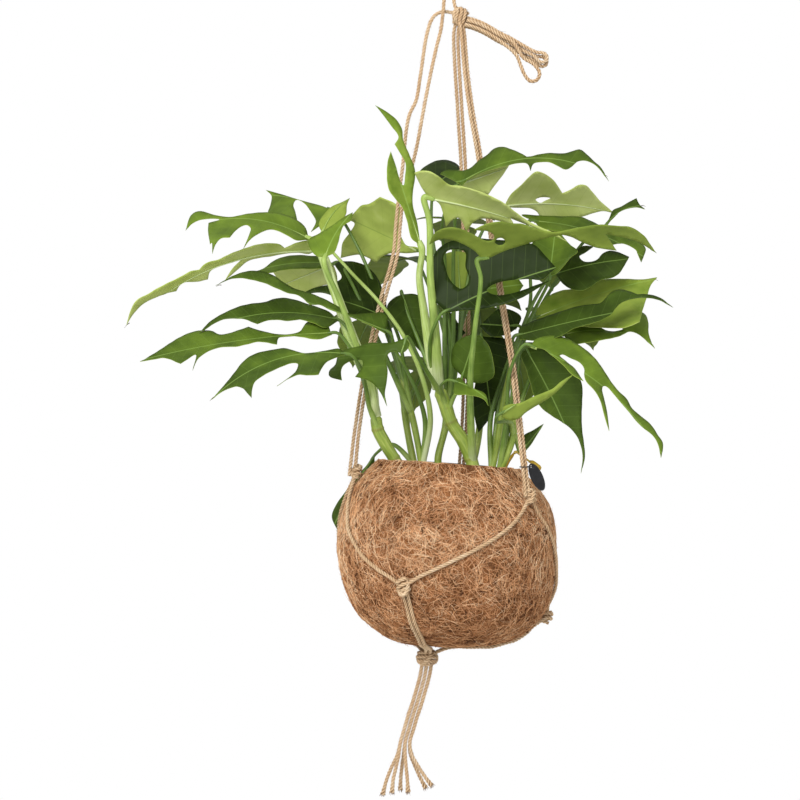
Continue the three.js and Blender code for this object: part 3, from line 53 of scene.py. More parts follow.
# Camera: level, two metres in front of the pot's axis
camera = {"place": (-0.0447, -2.0, -0.3675), "sensor": 36, "lens": 98.6}
cameraData = bpy.data.cameras.new("camera")
cameraData.sensor_width = camera["sensor"]
cameraData.lens = camera["lens"]
cameraObject = bpy.data.objects.new("camera", cameraData)
cameraObject.location = camera["place"]
cameraObject.rotation_euler = (math.radians(90), 0, 0)
scene.collection.objects.link(cameraObject)
scene.camera = cameraObject
scene.view_settings.view_transform = "Standard"


# Small helpers for materials
def linearColour(hexText):
    parts = [int(hexText[i:i + 2], 16) / 255 for i in (1, 3, 5)]
    return tuple(p / 12.92 if p <= 0.04045 else ((p + 0.055) / 1.055) ** 2.4 for p in parts) + (1,)


def setStops(elements, stops):
    while len(elements) < len(stops):
        elements.new(0.5)
    for element, (place, colour) in zip(elements, stops):
        element.position = place
        element.color = linearColour(colour)


# A setting is an input socket or a property, and a link starts at a socket or at a node's first one
def addNode(tree, kind, settings=None, links=None):
    node = tree.nodes.new("ShaderNode" + kind)
    for key, value in (settings or {}).items():
        if key == "stops":
            setStops(node.color_ramp.elements, value)
        elif isinstance(key, int) or key in node.inputs:
            node.inputs[key].default_value = value
        else:
            setattr(node, key, value)
    for key, source in (links or {}).items():
        start = source if isinstance(source, bpy.types.NodeSocket) else source.outputs[0]
        tree.links.new(start, node.inputs[key])
    return node


# The settings of a noise with patches of a size in millimetres
def patches(size, detail):
    return {"Scale": 1 / (size * mm), "Detail": detail, "Roughness": 0.55}


# A finish runs over its colour stops: by the tone that the mesh carries, times a share and from a level,
# and by patches, each with its size, its detail and its share. A bump has a size, detail, depth and strength.
def newMaterial(name, look):
    material = bpy.data.materials.new(name)
    material.use_nodes = True
    tree = material.node_tree
    shader = next(node for node in tree.nodes if node.type == "BSDF_PRINCIPLED")
    for key, value in look["shader"].items():
        shader.inputs[key].default_value = value
    if "stops" not in look:
        return material, tree, shader, None, None
    place = addNode(tree, "TexCoord").outputs["Object"]
    tone = addNode(tree, "Attribute", {"attribute_name": "tone"}).outputs["Fac"]
    share, start = look.get("tone", (0, 0))
    level = addNode(tree, "Math", {"operation": "MULTIPLY_ADD", 1: share, 2: start}, {0: tone})
    for size, detail, share in look["patches"]:
        patch = addNode(tree, "TexNoise", patches(size, detail), {"Vector": place})
        level = addNode(tree, "Math", {"operation": "MULTIPLY_ADD", 1: share}, {0: patch, 2: level})
    colour = addNode(tree, "ValToRGB", {"stops": look["stops"]}, {"Fac": level})
    tree.links.new(colour.outputs[0], shader.inputs["Base Color"])
    if "bump" in look:
        size, detail, depth, strength = look["bump"]
        height = addNode(tree, "TexNoise", patches(size, detail), {"Vector": place})
        bump = addNode(tree, "Bump", {"Distance": depth * mm, "Strength": strength}, {"Height": height})
        tree.links.new(bump.outputs[0], shader.inputs["Normal"])
    return material, tree, shader, level, colour


# Small helpers for meshes. Each point carries three marks that the materials read: its tone, how far along
# its part it is, and how far across.
markNames = ("tone", "along", "across")


def newPart():
    return {"points": [], "faces": [], "finish": [], "flat": [], "marks": [], "count": 0}


def addMesh(part, points, faces, finish=0, marks=(0.5, 0, 0), flat=False):
    points = np.asarray(points, float).reshape(-1, 3)
    start = part["count"]
    for group in faces:
        group = np.asarray(group) + start
        part["faces"].extend(group.tolist())
        part["finish"].extend([finish] * len(group))
        part["flat"].extend([flat] * len(group))
    given = np.zeros((len(points), 3))
    given[:] = marks
    part["points"].append(points)
    part["marks"].append(given)
    part["count"] += len(points)
    return start


def makePiece(name, part, materials, nodes=()):
    mesh = bpy.data.meshes.new(name)
    points = np.concatenate(part["points"]) * mm
    mesh.from_pydata(points.tolist(), [], part["faces"])
    mesh.polygons.foreach_set("material_index", part["finish"])
    mesh.polygons.foreach_set("use_smooth", [not f for f in part["flat"]])
    marks = np.concatenate(part["marks"])
    for column, label in enumerate(markNames):
        layer = mesh.attributes.new(label, "FLOAT", "POINT")
        layer.data.foreach_set("value", marks[:, column].astype(np.float32))
    for material in materials:
        mesh.materials.append(material)
    mesh.update()
    piece = bpy.data.objects.new(name, mesh)
    scene.collection.objects.link(piece)
    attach(piece, "root")
    if nodes:
        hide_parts(*nodes)
    return piece


def unit(vectors):
    size = np.linalg.norm(vectors, axis=-1, keepdims=True)
    return vectors / np.maximum(size, 1e-9)


# The same curve as the model's own: through every point, with tangents that suit uneven spans
leastGap = 1e-4


def spanPoints(points, perSpan):
    points = np.asarray(points, float)
    padded = np.vstack([2 * points[0] - points[1], points, 2 * points[-1] - points[-2]])
    found = []
    share = np.linspace(0, 1, perSpan, endpoint=False)[:, None]
    for i in range(len(points) - 1):
        before, start, end, after = padded[i:i + 4]
        gaps = [np.linalg.norm(b - a) ** 0.5 for a, b in ((before, start), (start, end), (end, after))]
        gaps[1] = gaps[1] if gaps[1] > leastGap else 1.0
        gapIn, gap, gapOut = [g if g > leastGap else gaps[1] for g in gaps]
        leaving = ((start - before) / gapIn - (end - before) / (gapIn + gap) + (end - start) / gap) * gap
        arriving = ((end - start) / gap - (after - start) / (gap + gapOut) + (after - end) / gapOut) * gap
        square = -3 * start + 3 * end - 2 * leaving - arriving
        cube = 2 * start - 2 * end + leaving + arriving
        found.append(start + leaving * share + square * share ** 2 + cube * share ** 3)
    return np.vstack([*found, points[-1:]])


def runOf(points):
    return np.concatenate([[0], np.cumsum(np.linalg.norm(np.diff(points, axis=0), axis=1))])


def evenPoints(points, step):
    dense = spanPoints(points, 12)
    run = runOf(dense)
    count = max(3, int(round(run[-1] / step)) + 1)
    wanted = np.linspace(0, run[-1], count)
    return np.stack([np.interp(wanted, run, dense[:, k]) for k in range(3)], axis=1), wanted


# The directions ahead, to the side and up at each point of a line, without twist between them
def carried(points):
    ahead = unit(np.gradient(points, axis=0))
    start = np.cross(ahead[0], (0, 1, 0.1))
    side = np.zeros_like(ahead)
    side[0] = unit(start)
    for i in range(1, len(points)):
        moved = side[i - 1] - ahead[i] * side[i - 1].dot(ahead[i])
        side[i] = moved / max(np.linalg.norm(moved), 1e-9)
    return ahead, side, np.cross(ahead, side)


# Closed rings of points, each joined to the next
def gridQuads(index):
    low, high = index[:-1], index[1:]
    return np.stack([low, np.roll(low, -1, 1), np.roll(high, -1, 1), high], axis=-1).reshape(-1, 4)


def addTube(part, points, radii, sides, finish=0, tone=0.5, along=None, frames=None, across=None, flatter=1.0,
            turn=None):
    points = np.asarray(points, float)
    ahead, side, up = frames or carried(points)
    radii = np.broadcast_to(np.asarray(radii, float), (len(points),))
    turn = 2 * np.pi * np.arange(sides) / sides if turn is None else turn
    ring = side[:, None] * np.cos(turn)[None, :, None] + up[:, None] * (flatter * np.sin(turn))[None, :, None]
    places = points[:, None] + ring * radii[:, None, None]
    index = np.arange(len(points) * sides).reshape(len(points), sides)
    marks = np.zeros((len(points), sides, 3))
    marks[:, :, 0] = np.asarray(tone).reshape(-1, 1) if np.ndim(tone) else tone
    marks[:, :, 1] = 0 if along is None else np.asarray(along)[:, None]
    marks[:, :, 2] = turn[None] if across is None else across
    addMesh(part, places, [gridQuads(index), index[:1, ::-1], index[-1:]], finish, marks.reshape(-1, 3))


# Many thin three-sided threads at once: paths and facing are threads x points x 3
def addThreads(part, paths, facing, radii, tones):
    count, steps, _ = paths.shape
    ahead = unit(np.gradient(paths, axis=1))
    side = unit(np.cross(facing, ahead))
    up = np.cross(ahead, side)
    turn = np.radians([90, 210, 330])[None, None, :, None]
    ring = side[:, :, None] * np.cos(turn) + up[:, :, None] * np.sin(turn)
    places = paths[:, :, None] + ring * radii[:, :, None, None]
    index = np.arange(count * steps * 3).reshape(count, steps, 3)
    low, high = index[:, :-1], index[:, 1:]
    quads = np.stack([low, np.roll(low, -1, 2), np.roll(high, -1, 2), high], axis=-1).reshape(-1, 4)
    marks = np.zeros((count, steps, 3, 3))
    marks[..., 0] = tones[:, None, None]
    marks[..., 1] = np.linspace(0, 1, steps)[None, :, None]
    addMesh(part, places, [quads, index[:, 0, ::-1], index[:, -1]], marks=marks.reshape(-1, 3))


print("helpers ready")

# Jute: twisted bast fibre, unbleached, so a matt pale tan, with painted shade darkening the grooves between
# its strands.
# Its single fibres, 0.02 mm thick, are too fine to show; its fuzz is drawn as a grain of half a millimetre.
juteLook = {
    "shader": {"Roughness": 0.88, "Specular IOR Level": 0.25},
    "tone": (0.75, 0), "patches": [(6, 3, 0.5)],
    "stops": [(0.2, "#a98560"), (0.45, "#cca881"), (0.7, "#e0c39e"), (1, "#f0dfc4")],
    # groove is the colour of the painted shade deep between the strands
    "groove": "#8a6844", "grooveShadeReach": (1.1, -0.15), "bump": (0.5, 2, 0.25, 0.8),
}


def juteMaterial():
    material, tree, shader, level, colour = newMaterial("jute", juteLook)
    across = addNode(tree, "Attribute", {"attribute_name": "across"}).outputs["Fac"]
    # painted shade: a corner deep in the groove between strands takes the groove colour
    share, start = juteLook["grooveShadeReach"]
    near = {"operation": "MULTIPLY_ADD", 1: share, 2: start, "use_clamp": True}
    out = addNode(tree, "Math", near, {0: across})
    grooveShade = {"data_type": "RGBA", 6: linearColour(juteLook["groove"])}
    colour = addNode(tree, "Mix", grooveShade, {0: out, 7: colour}).outputs[2]
    tree.links.new(colour, shader.inputs["Base Color"])
    return material


jute = juteMaterial()

# The cord, laid up from three strands, and the hairs that stand off it. Most of a strand's corners lie on its
# outside. Real hairs are thinner still, and these are as coarse as they need to be to show.
rope = {
    "diameter": 3.5, "strandRadius": 1.04, "strandOffset": 0.8, "lay": 10, "step": 1.25,
    "corners": (0, 48, 100, 180, 260, 312), "opening": 0.75, "pairGap": 3.9,
    "hairEvery": 2.2, "hairLength": (2.5, 6.5), "hairRadius": 0.065, "hairReach": 2.4, "hairFrom": 1.5,
    "hairTurn": 0.9, "hairsBack": 0.3,
}


def addRope(part, points, rng, openEnd=0.0, shade=0.55):
    even, run = evenPoints(points, rope["step"])
    frames = carried(even)
    ahead, side, up = frames
    start = rng.uniform(0, 2 * np.pi)
    spread = np.ones(len(run))
    if openEnd:
        spread += rope["opening"] * np.clip((run - run[-1] + openEnd) / openEnd, 0, 1) ** 1.5
    slow = 0.06 * np.sin(run / 23 + rng.uniform(0, 6)) + 0.04 * np.sin(run / 9 + rng.uniform(0, 6))
    corner = np.radians(rope["corners"])
    # a corner deep in the groove gets more of the painted groove shade
    outward = 0.5 + 0.5 * np.cos(corner)  # how far out of the groove each corner is
    for strand in range(3):
        turn = start + 2 * np.pi * (run / rope["lay"] + strand / 3)
        away = side * np.cos(turn)[:, None] + up * np.sin(turn)[:, None]
        centre = even + away * (rope["strandOffset"] * spread)[:, None]
        uneven = 1 + 0.05 * np.sin(run / 2.1 + rng.uniform(0, 6))
        radii = rope["strandRadius"] * uneven * (0.6 + 0.4 * spread)
        addTube(
            part, centre, radii, len(corner), tone=shade + slow + rng.uniform(-0.08, 0.08), along=run,
            frames=(ahead, away, np.cross(ahead, away)), across=outward[None], turn=corner,
        )
    addHairs(part, even, frames, run, rng, shade)
    return even


# A hair leaves the cord's side and runs on beside it, never far from its centreline
def addHairs(part, even, frames, run, rng, shade):
    ahead, side, up = frames
    count = max(2, int(run[-1] / rope["hairEvery"]))
    at = rng.uniform(1, len(even) - 2, count)[:, None]
    turn = rng.uniform(0, 2 * np.pi, count)[:, None]
    way = rng.choice([-1, 1], count, p=[rope["hairsBack"], 1 - rope["hairsBack"]])[:, None]
    length = rng.uniform(*rope["hairLength"], count)[:, None]
    share = np.linspace(0, 1, 5)[None]
    place = np.clip(at + way * share * length / rope["step"], 0, len(even) - 1.001)
    low = place.astype(int)
    rest = (place - low)[..., None]
    centre, sides, ups = (v[low] * (1 - rest) + v[low + 1] * rest for v in (even, side, up))
    turn = turn + rng.uniform(-rope["hairTurn"], rope["hairTurn"], count)[:, None] * share
    away = sides * np.cos(turn)[..., None] + ups * np.sin(turn)[..., None]
    reach = rng.uniform(0.3, 1, count)[:, None] * rope["hairReach"]
    paths = centre + away * (rope["hairFrom"] + reach * share ** 1.3)[..., None]
    radii = rope["hairRadius"] * np.linspace(1, 0.35, 5)[None] * rng.uniform(0.8, 1.3, (count, 1))
    addThreads(part, paths, away, radii, shade + 0.12 + rng.uniform(-0.15, 0.15, count))


# The eye that sighted places are measured from
eye = {"away": 2000, "side": -45, "height": -367}


def sighted(place):
    x, y, z = place
    side, height = eye["side"], eye["height"]
    spread = (eye["away"] + y) / eye["away"]
    return np.array([side + (x - side) * spread, y, height + (z - height) * spread])


# The coir pot's round: radius and height down its outside from the mouth's edge
coir = {
    "mouth": (0, 0, -429), "tilt": math.radians(4), "tiltFades": 70,
    "shift": (-2, 3), "waist": 78, "foot": 80,
    "outline": [
        [64, 0], [68, -3], [78, -11], [90, -28], [98, -54], [99, -80], [94.5, -108], [83.5, -134], [61, -153],
        [36, -159.5], [0, -159.5],
    ],
}
outline = np.array(coir["outline"], float)
outlineRun = runOf(outline)
smoothOutline = spanPoints(outline, 8)
smoothRun = np.interp(np.arange(len(smoothOutline)) / 8, np.arange(len(outline)), outlineRun)


# A place of the upright round, leaned at the mouth and shifted at the waist and at the foot
def settled(x, y, z):
    low = np.clip(-z / coir["tiltFades"], 0, 1)
    tilt = coir["tilt"] * (1 - low * low * (3 - 2 * low))
    waist = np.clip(-z / coir["waist"], 0, 1)
    foot = np.clip((-z - coir["waist"]) / coir["foot"], 0, 1)
    shift = coir["shift"][0] * waist + (coir["shift"][1] - coir["shift"][0]) * foot
    return np.stack([x + shift, y, z - x * np.tan(tilt)], axis=-1) + np.array(coir["mouth"])


def coirPlace(turn, distance, lineRun=outlineRun, line=outline):
    turn, distance = np.broadcast_arrays(np.asarray(turn, float), np.asarray(distance, float))
    radius = np.interp(distance, lineRun, line[:, 0])
    height = np.interp(distance, lineRun, line[:, 1])
    return settled(np.cos(turn) * radius, np.sin(turn) * radius, height)


def coirOut(turn, distance, *line):
    around = coirPlace(turn + 0.02, distance, *line) - coirPlace(turn - 0.02, distance, *line)
    down = coirPlace(turn, distance + 6, *line) - coirPlace(turn, distance - 6, *line)
    return unit(np.cross(down, around))


def onCoir(degrees, distance, off):
    turn = np.radians(degrees)
    return coirPlace(turn, distance) + coirOut(turn, distance) * off


# The knots: a middle, or a turn and a distance down the coir and how far off it, and half of each size
knots = {
    "top_knot": {"at": (10, 0, -17.5), "half": (7.2, 7, 9.5)},
    "upper_knot_left": {"onCoir": (190, 20), "half": (5, 5, 6.5), "off": 7},
    "upper_knot_right": {"onCoir": (-40, 34), "half": (6, 5, 6.5), "off": 6.6},
    "upper_knot_back": {"onCoir": (85, 34), "half": (6, 5, 6.5), "off": 6.4},
    "lower_knot_front": {"onCoir": (246, 112), "half": (6.5, 4.5, 8), "off": 5.8},
    "lower_knot_right": {"onCoir": (6, 148), "half": (5.5, 5, 6), "off": 6.8},
    "lower_knot_left": {"onCoir": (142, 128), "half": (5.5, 5, 6.5), "off": 6.6},
    "bottom_knot": {"at": (-20, -4, -602), "half": (10.5, 9, 7.5)},
}
for knot in knots.values():
    knot["centre"] = np.array(knot["at"], float) if "at" in knot else onCoir(*knot["onCoir"], knot["off"])

# The hanger's cords, as places in the plane of the pot's axis: side, depth, height
legOuterLeft = [
    (10, 2, -16), (-3, 4, -13), (-9, 3.5, -14), (-15, 1.5, -19), (-20, 0, -33), (-26, -1, -71),
    (-30, -1.5, -94), (-36, -2, -107), (-39, -3, -122), (-42, -4, -152), (-45.5, -5, -180),
    (-48.5, -6, -208), (-51, -7, -235), (-62.5, -9, -276), (-77, -11, -340), (-86.5, -13, -399),
    (-91, -15, -437),
]
legInnerLeft = [
    (-6, 0, -19.5), (-7.5, 0, -30), (-12, 0, -48), (-21, -1, -91), (-30, -2, -139), (-36, -3, -162),
    (-41, -4, -179), (-44.5, -6, -208), (-47, -7, -235), (-58.5, -9, -276), (-73, -11, -340),
    (-82.5, -13, -399), (-86, -14.5, -437),
]
legBack = [
    (10, 2, -16), (6.5, 4, -32), (7, 8, -57), (9, 14, -89), (11, 21, -121), (13, 28, -153), (15, 42, -221),
    (16, 59, -304), (14, 78, -386), (11, 90, -430), (9, 96, -452),
]
legRight = [
    (10, -2, -16), (12.5, -2.5, -32), (16, -5, -71), (21, -8, -107), (26, -11, -135), (29.5, -14, -157),
    (39, -22, -217), (49, -33, -281), (58, -43, -336), (65, -53, -395), (69, -59.5, -431), (71.5, -63, -456),
]
rightPairAcross = np.array([0.75, 0.65, 0])


def pairOf(route, across):
    return [
        np.array([sighted(place) + np.array(across) * side * rope["pairGap"] for place in route])
        for side in (-0.5, 0.5)
    ]


slings = {
    "upper_sling_left_front": ("upper_knot_left", "lower_knot_front", [
        (190, 24), (201, 54), (216, 80), (232, 99), (244, 110)]),
    "upper_sling_left_back": ("upper_knot_left", "lower_knot_left", [
        (190, 24), (178, 58), (163, 92), (148, 120), (142, 127)]),
    "upper_sling_right_front": ("upper_knot_right", "lower_knot_front", [
        (318, 38), (303, 60), (281, 82), (260, 99), (249, 108)]),
    "upper_sling_right_back": ("upper_knot_right", "lower_knot_right", [
        (321, 38), (331, 62), (343, 90), (353, 118), (360, 134), (365, 144)]),
    "upper_sling_back_left": ("upper_knot_back", "lower_knot_left", [
        (86, 38), (100, 62), (118, 92), (135, 118), (141, 126)]),
    "upper_sling_back_right": ("upper_knot_back", "lower_knot_right", [
        (84, 38), (70, 64), (50, 100), (24, 132), (9, 146)]),
}
feet = {
    "lower_sling_front": ("lower_knot_front", [
        (246, 116), (246, 136), (246, 156), (244, 178), (238, 196), (230, 206)]),
    "lower_sling_right": ("lower_knot_right", [(5, 153), (0, 172), (-10, 193), (-24, 213), (-58, 231)]),
    "lower_sling_left": ("lower_knot_left", [(142, 134), (143, 152), (146, 176), (149, 192), (154, 203)]),
}
standOff = rope["diameter"] / 2 + 1


def slingRoutes():
    routes = {}
    for name, (first, last, path) in slings.items():
        between = [onCoir(turn, distance, standOff) for turn, distance in spanPoints(path, 2)[1:-1]]
        routes[name] = np.array([knots[first]["centre"], *between, knots[last]["centre"]])
    return routes


def footRoutes():
    routes = {}
    end = knots["bottom_knot"]["centre"]
    for name, (first, path) in feet.items():
        places = spanPoints(path, 2)
        middles = np.array([onCoir(*place, standOff + 0.3) for place in places])
        across = []
        for i, place in enumerate(places):
            along = middles[min(i + 1, len(places) - 1)] - middles[max(i - 1, 0)]
            across.append(unit(np.cross(along, middles[i] - onCoir(*place, 0))))
        for i, side in enumerate((-0.5, 0.5)):
            shift = [a * side * rope["pairGap"] for a in across]
            near = (middles[-1] + end) / 2 + shift[-1]
            near[2] = middles[-1][2] - 3
            route = [knots[first]["centre"] + shift[0]]
            route += [middles[k] + shift[k] for k in range(1, len(places))]
            routes[f"{name}_{i + 1}"] = np.array([*route, near, end + shift[-1]])
    return routes


# The turn over the hook
loop = {"radius": 4.45, "steps": 6, "left": [(-6, 0, -19.15), (-4.9, 0, -9)],
        "right": [(5.5, 0, -8), (9, 0, -15)]}


def loopRoute():
    over = []
    for i in range(loop["steps"] + 1):
        angle = math.pi - math.pi * i / loop["steps"]
        lift = rope["diameter"] / 2 - loop["radius"]
        over.append((math.cos(angle) * loop["radius"], 0, math.sin(angle) * loop["radius"] + lift))
    return np.array([*loop["left"], *over, *loop["right"]])


# The three folded ends that stand off the top knot
tail = {
    "middle": [(15, -22), (24, -24.5), (34, -29), (45, -35.5), (57, -41.5), (68, -48), (79, -53.5)],
    "half": 2.1,
    "fold": [(4.2, 5.5), (3.4, 9.5), (0, 11.5), (-3.4, 9.5), (-4.2, 5.5)],
    "ring": [(61, -53), (65, -62), (69, -71.5), (74, -77), (80, -76), (82.5, -70), (77, -61.5), (68, -56)],
    "cords": {"tail_loop_1": (4.2, 1.5, 6), "tail_loop_2": (0, -1.5, 6), "tail_loop_3": (-4.2, 1.5, 4)},
}


def tailRoute(depth, fall, spans):
    middle = np.array([(x, depth, z - fall) for x, z in tail["middle"][:spans + 1]], float)
    run = unit(middle[-1] - middle[-2])
    up = np.array([-run[2], 0, run[0]])
    there, back = middle + up * tail["half"], (middle - up * tail["half"])[::-1]
    if spans < len(tail["middle"]) - 1:
        ring = np.array([(x, depth, z) for x, z in tail["ring"]], float)[::-1]
        return np.vstack([there, ring, back[1:]])
    fold = np.array([middle[-1] + up * rise + run * on for rise, on in tail["fold"]])
    return np.vstack([there, fold, back])


# The six ends below the bottom knot
tassel = {
    "bundle": [(-20, -4, -605), (-22, -4, -618), (-25.5, -4, -631), (-29, -4, -643), (-33, -4, -655),
               (-36.5, -4, -667), (-40, -4, -679)],
    "gap": 1.08,
    "fray": 9,
    "ends": [
        (-1, 2, [(-47, 0, -691), (-53, 1, -704), (-57.5, 2, -716), (-60.5, 3, -728)]),
        (-1, -2, [(-46, -7, -691), (-48.5, -8, -702), (-51, -10, -713), (-52, -11, -724)]),
        (0, 2, [(-41.5, -1, -691), (-43, 2, -702), (-44, 4, -713), (-44.5, 5, -724)]),
        (0, -2, [(-40, -8, -691), (-39, -10, -702), (-38, -12, -713), (-37.5, -14, -723)]),
        (1, 2, [(-35, -1, -691), (-31, 1, -702), (-26, 2, -713), (-21.5, 3, -722)]),
        (1, -2, [(-34, -7, -690), (-28.5, -7.5, -700), (-22, -8, -710), (-16, -8, -718)]),
    ],
}


def tasselRoute(column, depth, ends):
    bundle = [(x + column * rope["pairGap"] * tassel["gap"], y + depth, z) for x, y, z in tassel["bundle"]]
    return np.array([*bundle, *ends], float)


def freeCord(name, node, route, seed, openEnd=0.0):
    rng = np.random.default_rng(seed)
    part = newPart()
    even = addRope(part, route, rng, openEnd=openEnd)
    if openEnd:
        addFray(part, even, rng)
    piece = makePiece(name, part, [jute], [node])


# The cut end of a cord opens into a short brush
fray = {"count": 26, "inside": 4, "length": (4.5, 6.6), "spread": 1.3, "open": 1.5, "stray": 0.2,
        "radius": 0.22}


def addFray(part, even, rng):
    count = fray["count"]
    ahead = unit(even[-1] - even[-3])
    side = unit(np.cross(ahead, (0, 1, 0.2)))
    up = np.cross(ahead, side)
    turn, out = rng.uniform(0, 2 * np.pi, count), np.sqrt(rng.uniform(0, 1, count))
    away = side * np.cos(turn)[:, None] + up * np.sin(turn)[:, None]
    share = np.linspace(0, 1, 4)[None, :, None]
    length = rng.uniform(*fray["length"], count)[:, None, None]
    start = even[-1] - ahead * fray["inside"] + away * (out * fray["spread"])[:, None]
    paths = start[:, None] + ahead * length * share
    paths = paths + away[:, None] * (out[:, None, None] * fray["open"] * share ** 1.5)
    paths = paths + rng.normal(0, fray["stray"], (count, 1, 3)) * share
    radii = fray["radius"] * np.array([1, 1, 0.8, 0.35])[None] * rng.uniform(0.7, 1.2, (count, 1))
    addThreads(part, paths, np.broadcast_to(away[:, None], paths.shape), radii, rng.uniform(0.4, 0.7, count))


for i, (name, values) in enumerate(tail["cords"].items()):
    freeCord(f"tailLoop{i + 1}", name, tailRoute(*values), 20 + i)
for i, values in enumerate(tassel["ends"]):
    route = tasselRoute(*values)
    freeCord(f"tasselCord{i + 1}", f"tassel_cord_{i + 1}", route, 40 + i, tassel["fray"])
print("loose cords ready")

hangerRoutes = {
    "leg_cord_left_outer": np.array([sighted(p) for p in legOuterLeft]),
    "leg_cord_left_inner": np.array([sighted(p) for p in legInnerLeft]),
    "hanging_loop": loopRoute(),
    **slingRoutes(), **footRoutes(),
}
hangerRoutes["leg_cord_back_1"], hangerRoutes["leg_cord_back_2"] = pairOf(legBack, (1, 0, 0))
hangerRoutes["leg_cord_right_1"], hangerRoutes["leg_cord_right_2"] = pairOf(legRight, rightPairAcross)
for i, (name, route) in enumerate(hangerRoutes.items()):
    part = newPart()
    # cords at the back are given a darker tone: painted shade behind the pot
    shade = 0.45 if "back" in name else 0.55
    addRope(part, route, np.random.default_rng(60 + i), shade=shade)
    makePiece(name.title().replace("_", "") + "Rope", part, [jute], [name])

# Each knot: turns of the cord wound on a filled core, with turns across them. The turns go round the axis,
# slant says how far each rises and falls, and over is how many cross them.
knotTurns = {
    "top_knot": {"axis": (0.95, 0.1, -0.35), "turns": 3.2, "slant": 0.25, "over": 2},
    "upper_knot_left": {"axis": (0.1, 0, 1), "turns": 2.2, "slant": 0.5, "over": 1},
    "upper_knot_right": {"axis": (-0.2, 0.1, 1), "turns": 2.3, "slant": 0.5, "over": 2},
    "upper_knot_back": {"axis": (0.1, 0, 1), "turns": 2.3, "slant": 0.5, "over": 2},
    "lower_knot_front": {"axis": (-0.25, 0, 1), "turns": 2.8, "slant": 0.6, "over": 2},
    "lower_knot_right": {"axis": (0.3, 0, 1), "turns": 2.1, "slant": 0.5, "over": 1},
    "lower_knot_left": {"axis": (-0.3, 0, 1), "turns": 2.1, "slant": 0.5, "over": 1},
    "bottom_knot": {"axis": (0.12, 0, 1), "turns": 3.1, "slant": 0.3, "over": 3},
}
crossing = {"half": math.pi * 0.95 / 1.3, "points": 12, "lean": (0.35, 0.7), "start": -1.2, "rise": 0.9}


def addKnot(part, knot, winding, rng):
    centre, half = knot["centre"], np.array(knot["half"], float)
    axis = unit(np.array(winding["axis"], float))
    side = unit(np.cross(axis, (0.1, 1, 0.05)))
    up = np.cross(axis, side)
    reach = 1 / np.linalg.norm(axis / half)
    wide, deep = 1 / np.linalg.norm(side / half), 1 / np.linalg.norm(up / half)
    cord = rope["diameter"] / 2
    share = np.linspace(0, 1, int(winding["turns"] * 14))
    turn = 2 * np.pi * winding["turns"] * share + rng.uniform(0, 6)
    height = (2 * share - 1) * (reach - cord)
    barrel = np.sqrt(np.clip(1 - (height / (reach + 1)) ** 2, 0.15, 1))
    height = height + winding["slant"] * cord * 1.6 * np.sin(turn)
    path = (
        centre + side * (np.cos(turn) * (wide - cord) * barrel)[:, None]
        + up * (np.sin(turn) * (deep - cord) * barrel)[:, None] + axis * height[:, None]
    )
    addRope(part, path, rng, shade=0.52)
    way = np.linspace(-crossing["half"], crossing["half"], crossing["points"])
    out, rise = (wide + deep) / 2 - cord * 0.5, reach - cord * 0.3
    for i in range(winding["over"]):
        lean = rng.uniform(*crossing["lean"]) * (1 if i % 2 else -1)
        spin = rng.uniform(0, 1) + 2 * np.pi * i / winding["over"] + crossing["start"]
        facing = side * math.cos(spin) + up * math.sin(spin)
        slope = axis * crossing["rise"] + np.cross(axis, facing) * lean
        path = centre + facing * (np.cos(way) * out)[:, None] + slope * (np.sin(way) * rise)[:, None]
        addRope(part, path, rng, shade=0.58)
    # the core has a low tone and is marked as deep in a groove, so it is painted nearly all in the groove's
    # painted shade
    turns = np.linspace(0, np.pi, 9)[1:-1]
    core = centre + axis * (-np.cos(turns) * (reach - cord))[:, None]
    addTube(part, core, np.sin(turns) * (min(wide, deep) - cord * 1.2), 10, tone=0.3, across=0.2)


for i, (name, winding) in enumerate(knotTurns.items()):
    part = newPart()
    addKnot(part, knots[name], winding, np.random.default_rng(100 + i))
    makePiece(name.title().replace("_", "") + "Rope", part, [jute], [name])
print("hanger ready")

# Coir: coconut husk fibre, matted and bonded with latex, so it is matt and tan to dark brown
coirShader = {"Roughness": 0.9, "Specular IOR Level": 0.2}
coirMatLook = {
    "shader": coirShader, "tone": (0.6, -0.22), "patches": [(22, 2, 0.45), (2.2, 3, 0.4)],
    "stops": [(0.15, "#2c180c"), (0.4, "#6e4526"), (0.65, "#a87045"), (1, "#d09a68")],
    "bump": (0.7, 3, 0.8, 0.9),
}
coirFibreLook = {
    **coirMatLook, "bump": (0.7, 3, 0.15, 0.9),
    "stops": [(0.1, "#4a2a16"), (0.3, "#a56f46"), (0.55, "#dca778"), (0.85, "#f8dcb6")],
}
coirMat = newMaterial("coirMat", coirMatLook)[0]
coirFibre = newMaterial("coirFibre", coirFibreLook)[0]

matting = {
    "rings": 150, "rows": 84, "lump": 0.36, "rough": (-0.45, 0.35), "shade": (0.15, 0.5),
    "waves": [(0.8, 5, 13, 0.4), (0.6, 9, -8, 2), (0.5, 14, 6, 0)],  # share, count round, mm down, start
    "lip": 5.2, "lipFades": 7, "lipLeast": 0.12,
    "wall": [(0, -124), (64, -124), (80, -102), (87, -68), (82, -32), (63.2, -8), (62.7, -3), (63, -0.8)],
}
lastRun = outlineRun[-1]


def lumps(turn, distance):
    wave = np.sin(3 * turn + 1.3) * np.sin(distance / 19)
    for share, count, down, start in matting["waves"]:
        wave = wave + share * np.sin(count * turn + distance / down + start)
    return matting["lump"] * wave * np.clip(np.minimum(distance / 12, (242 - distance) / 60), 0, 1)


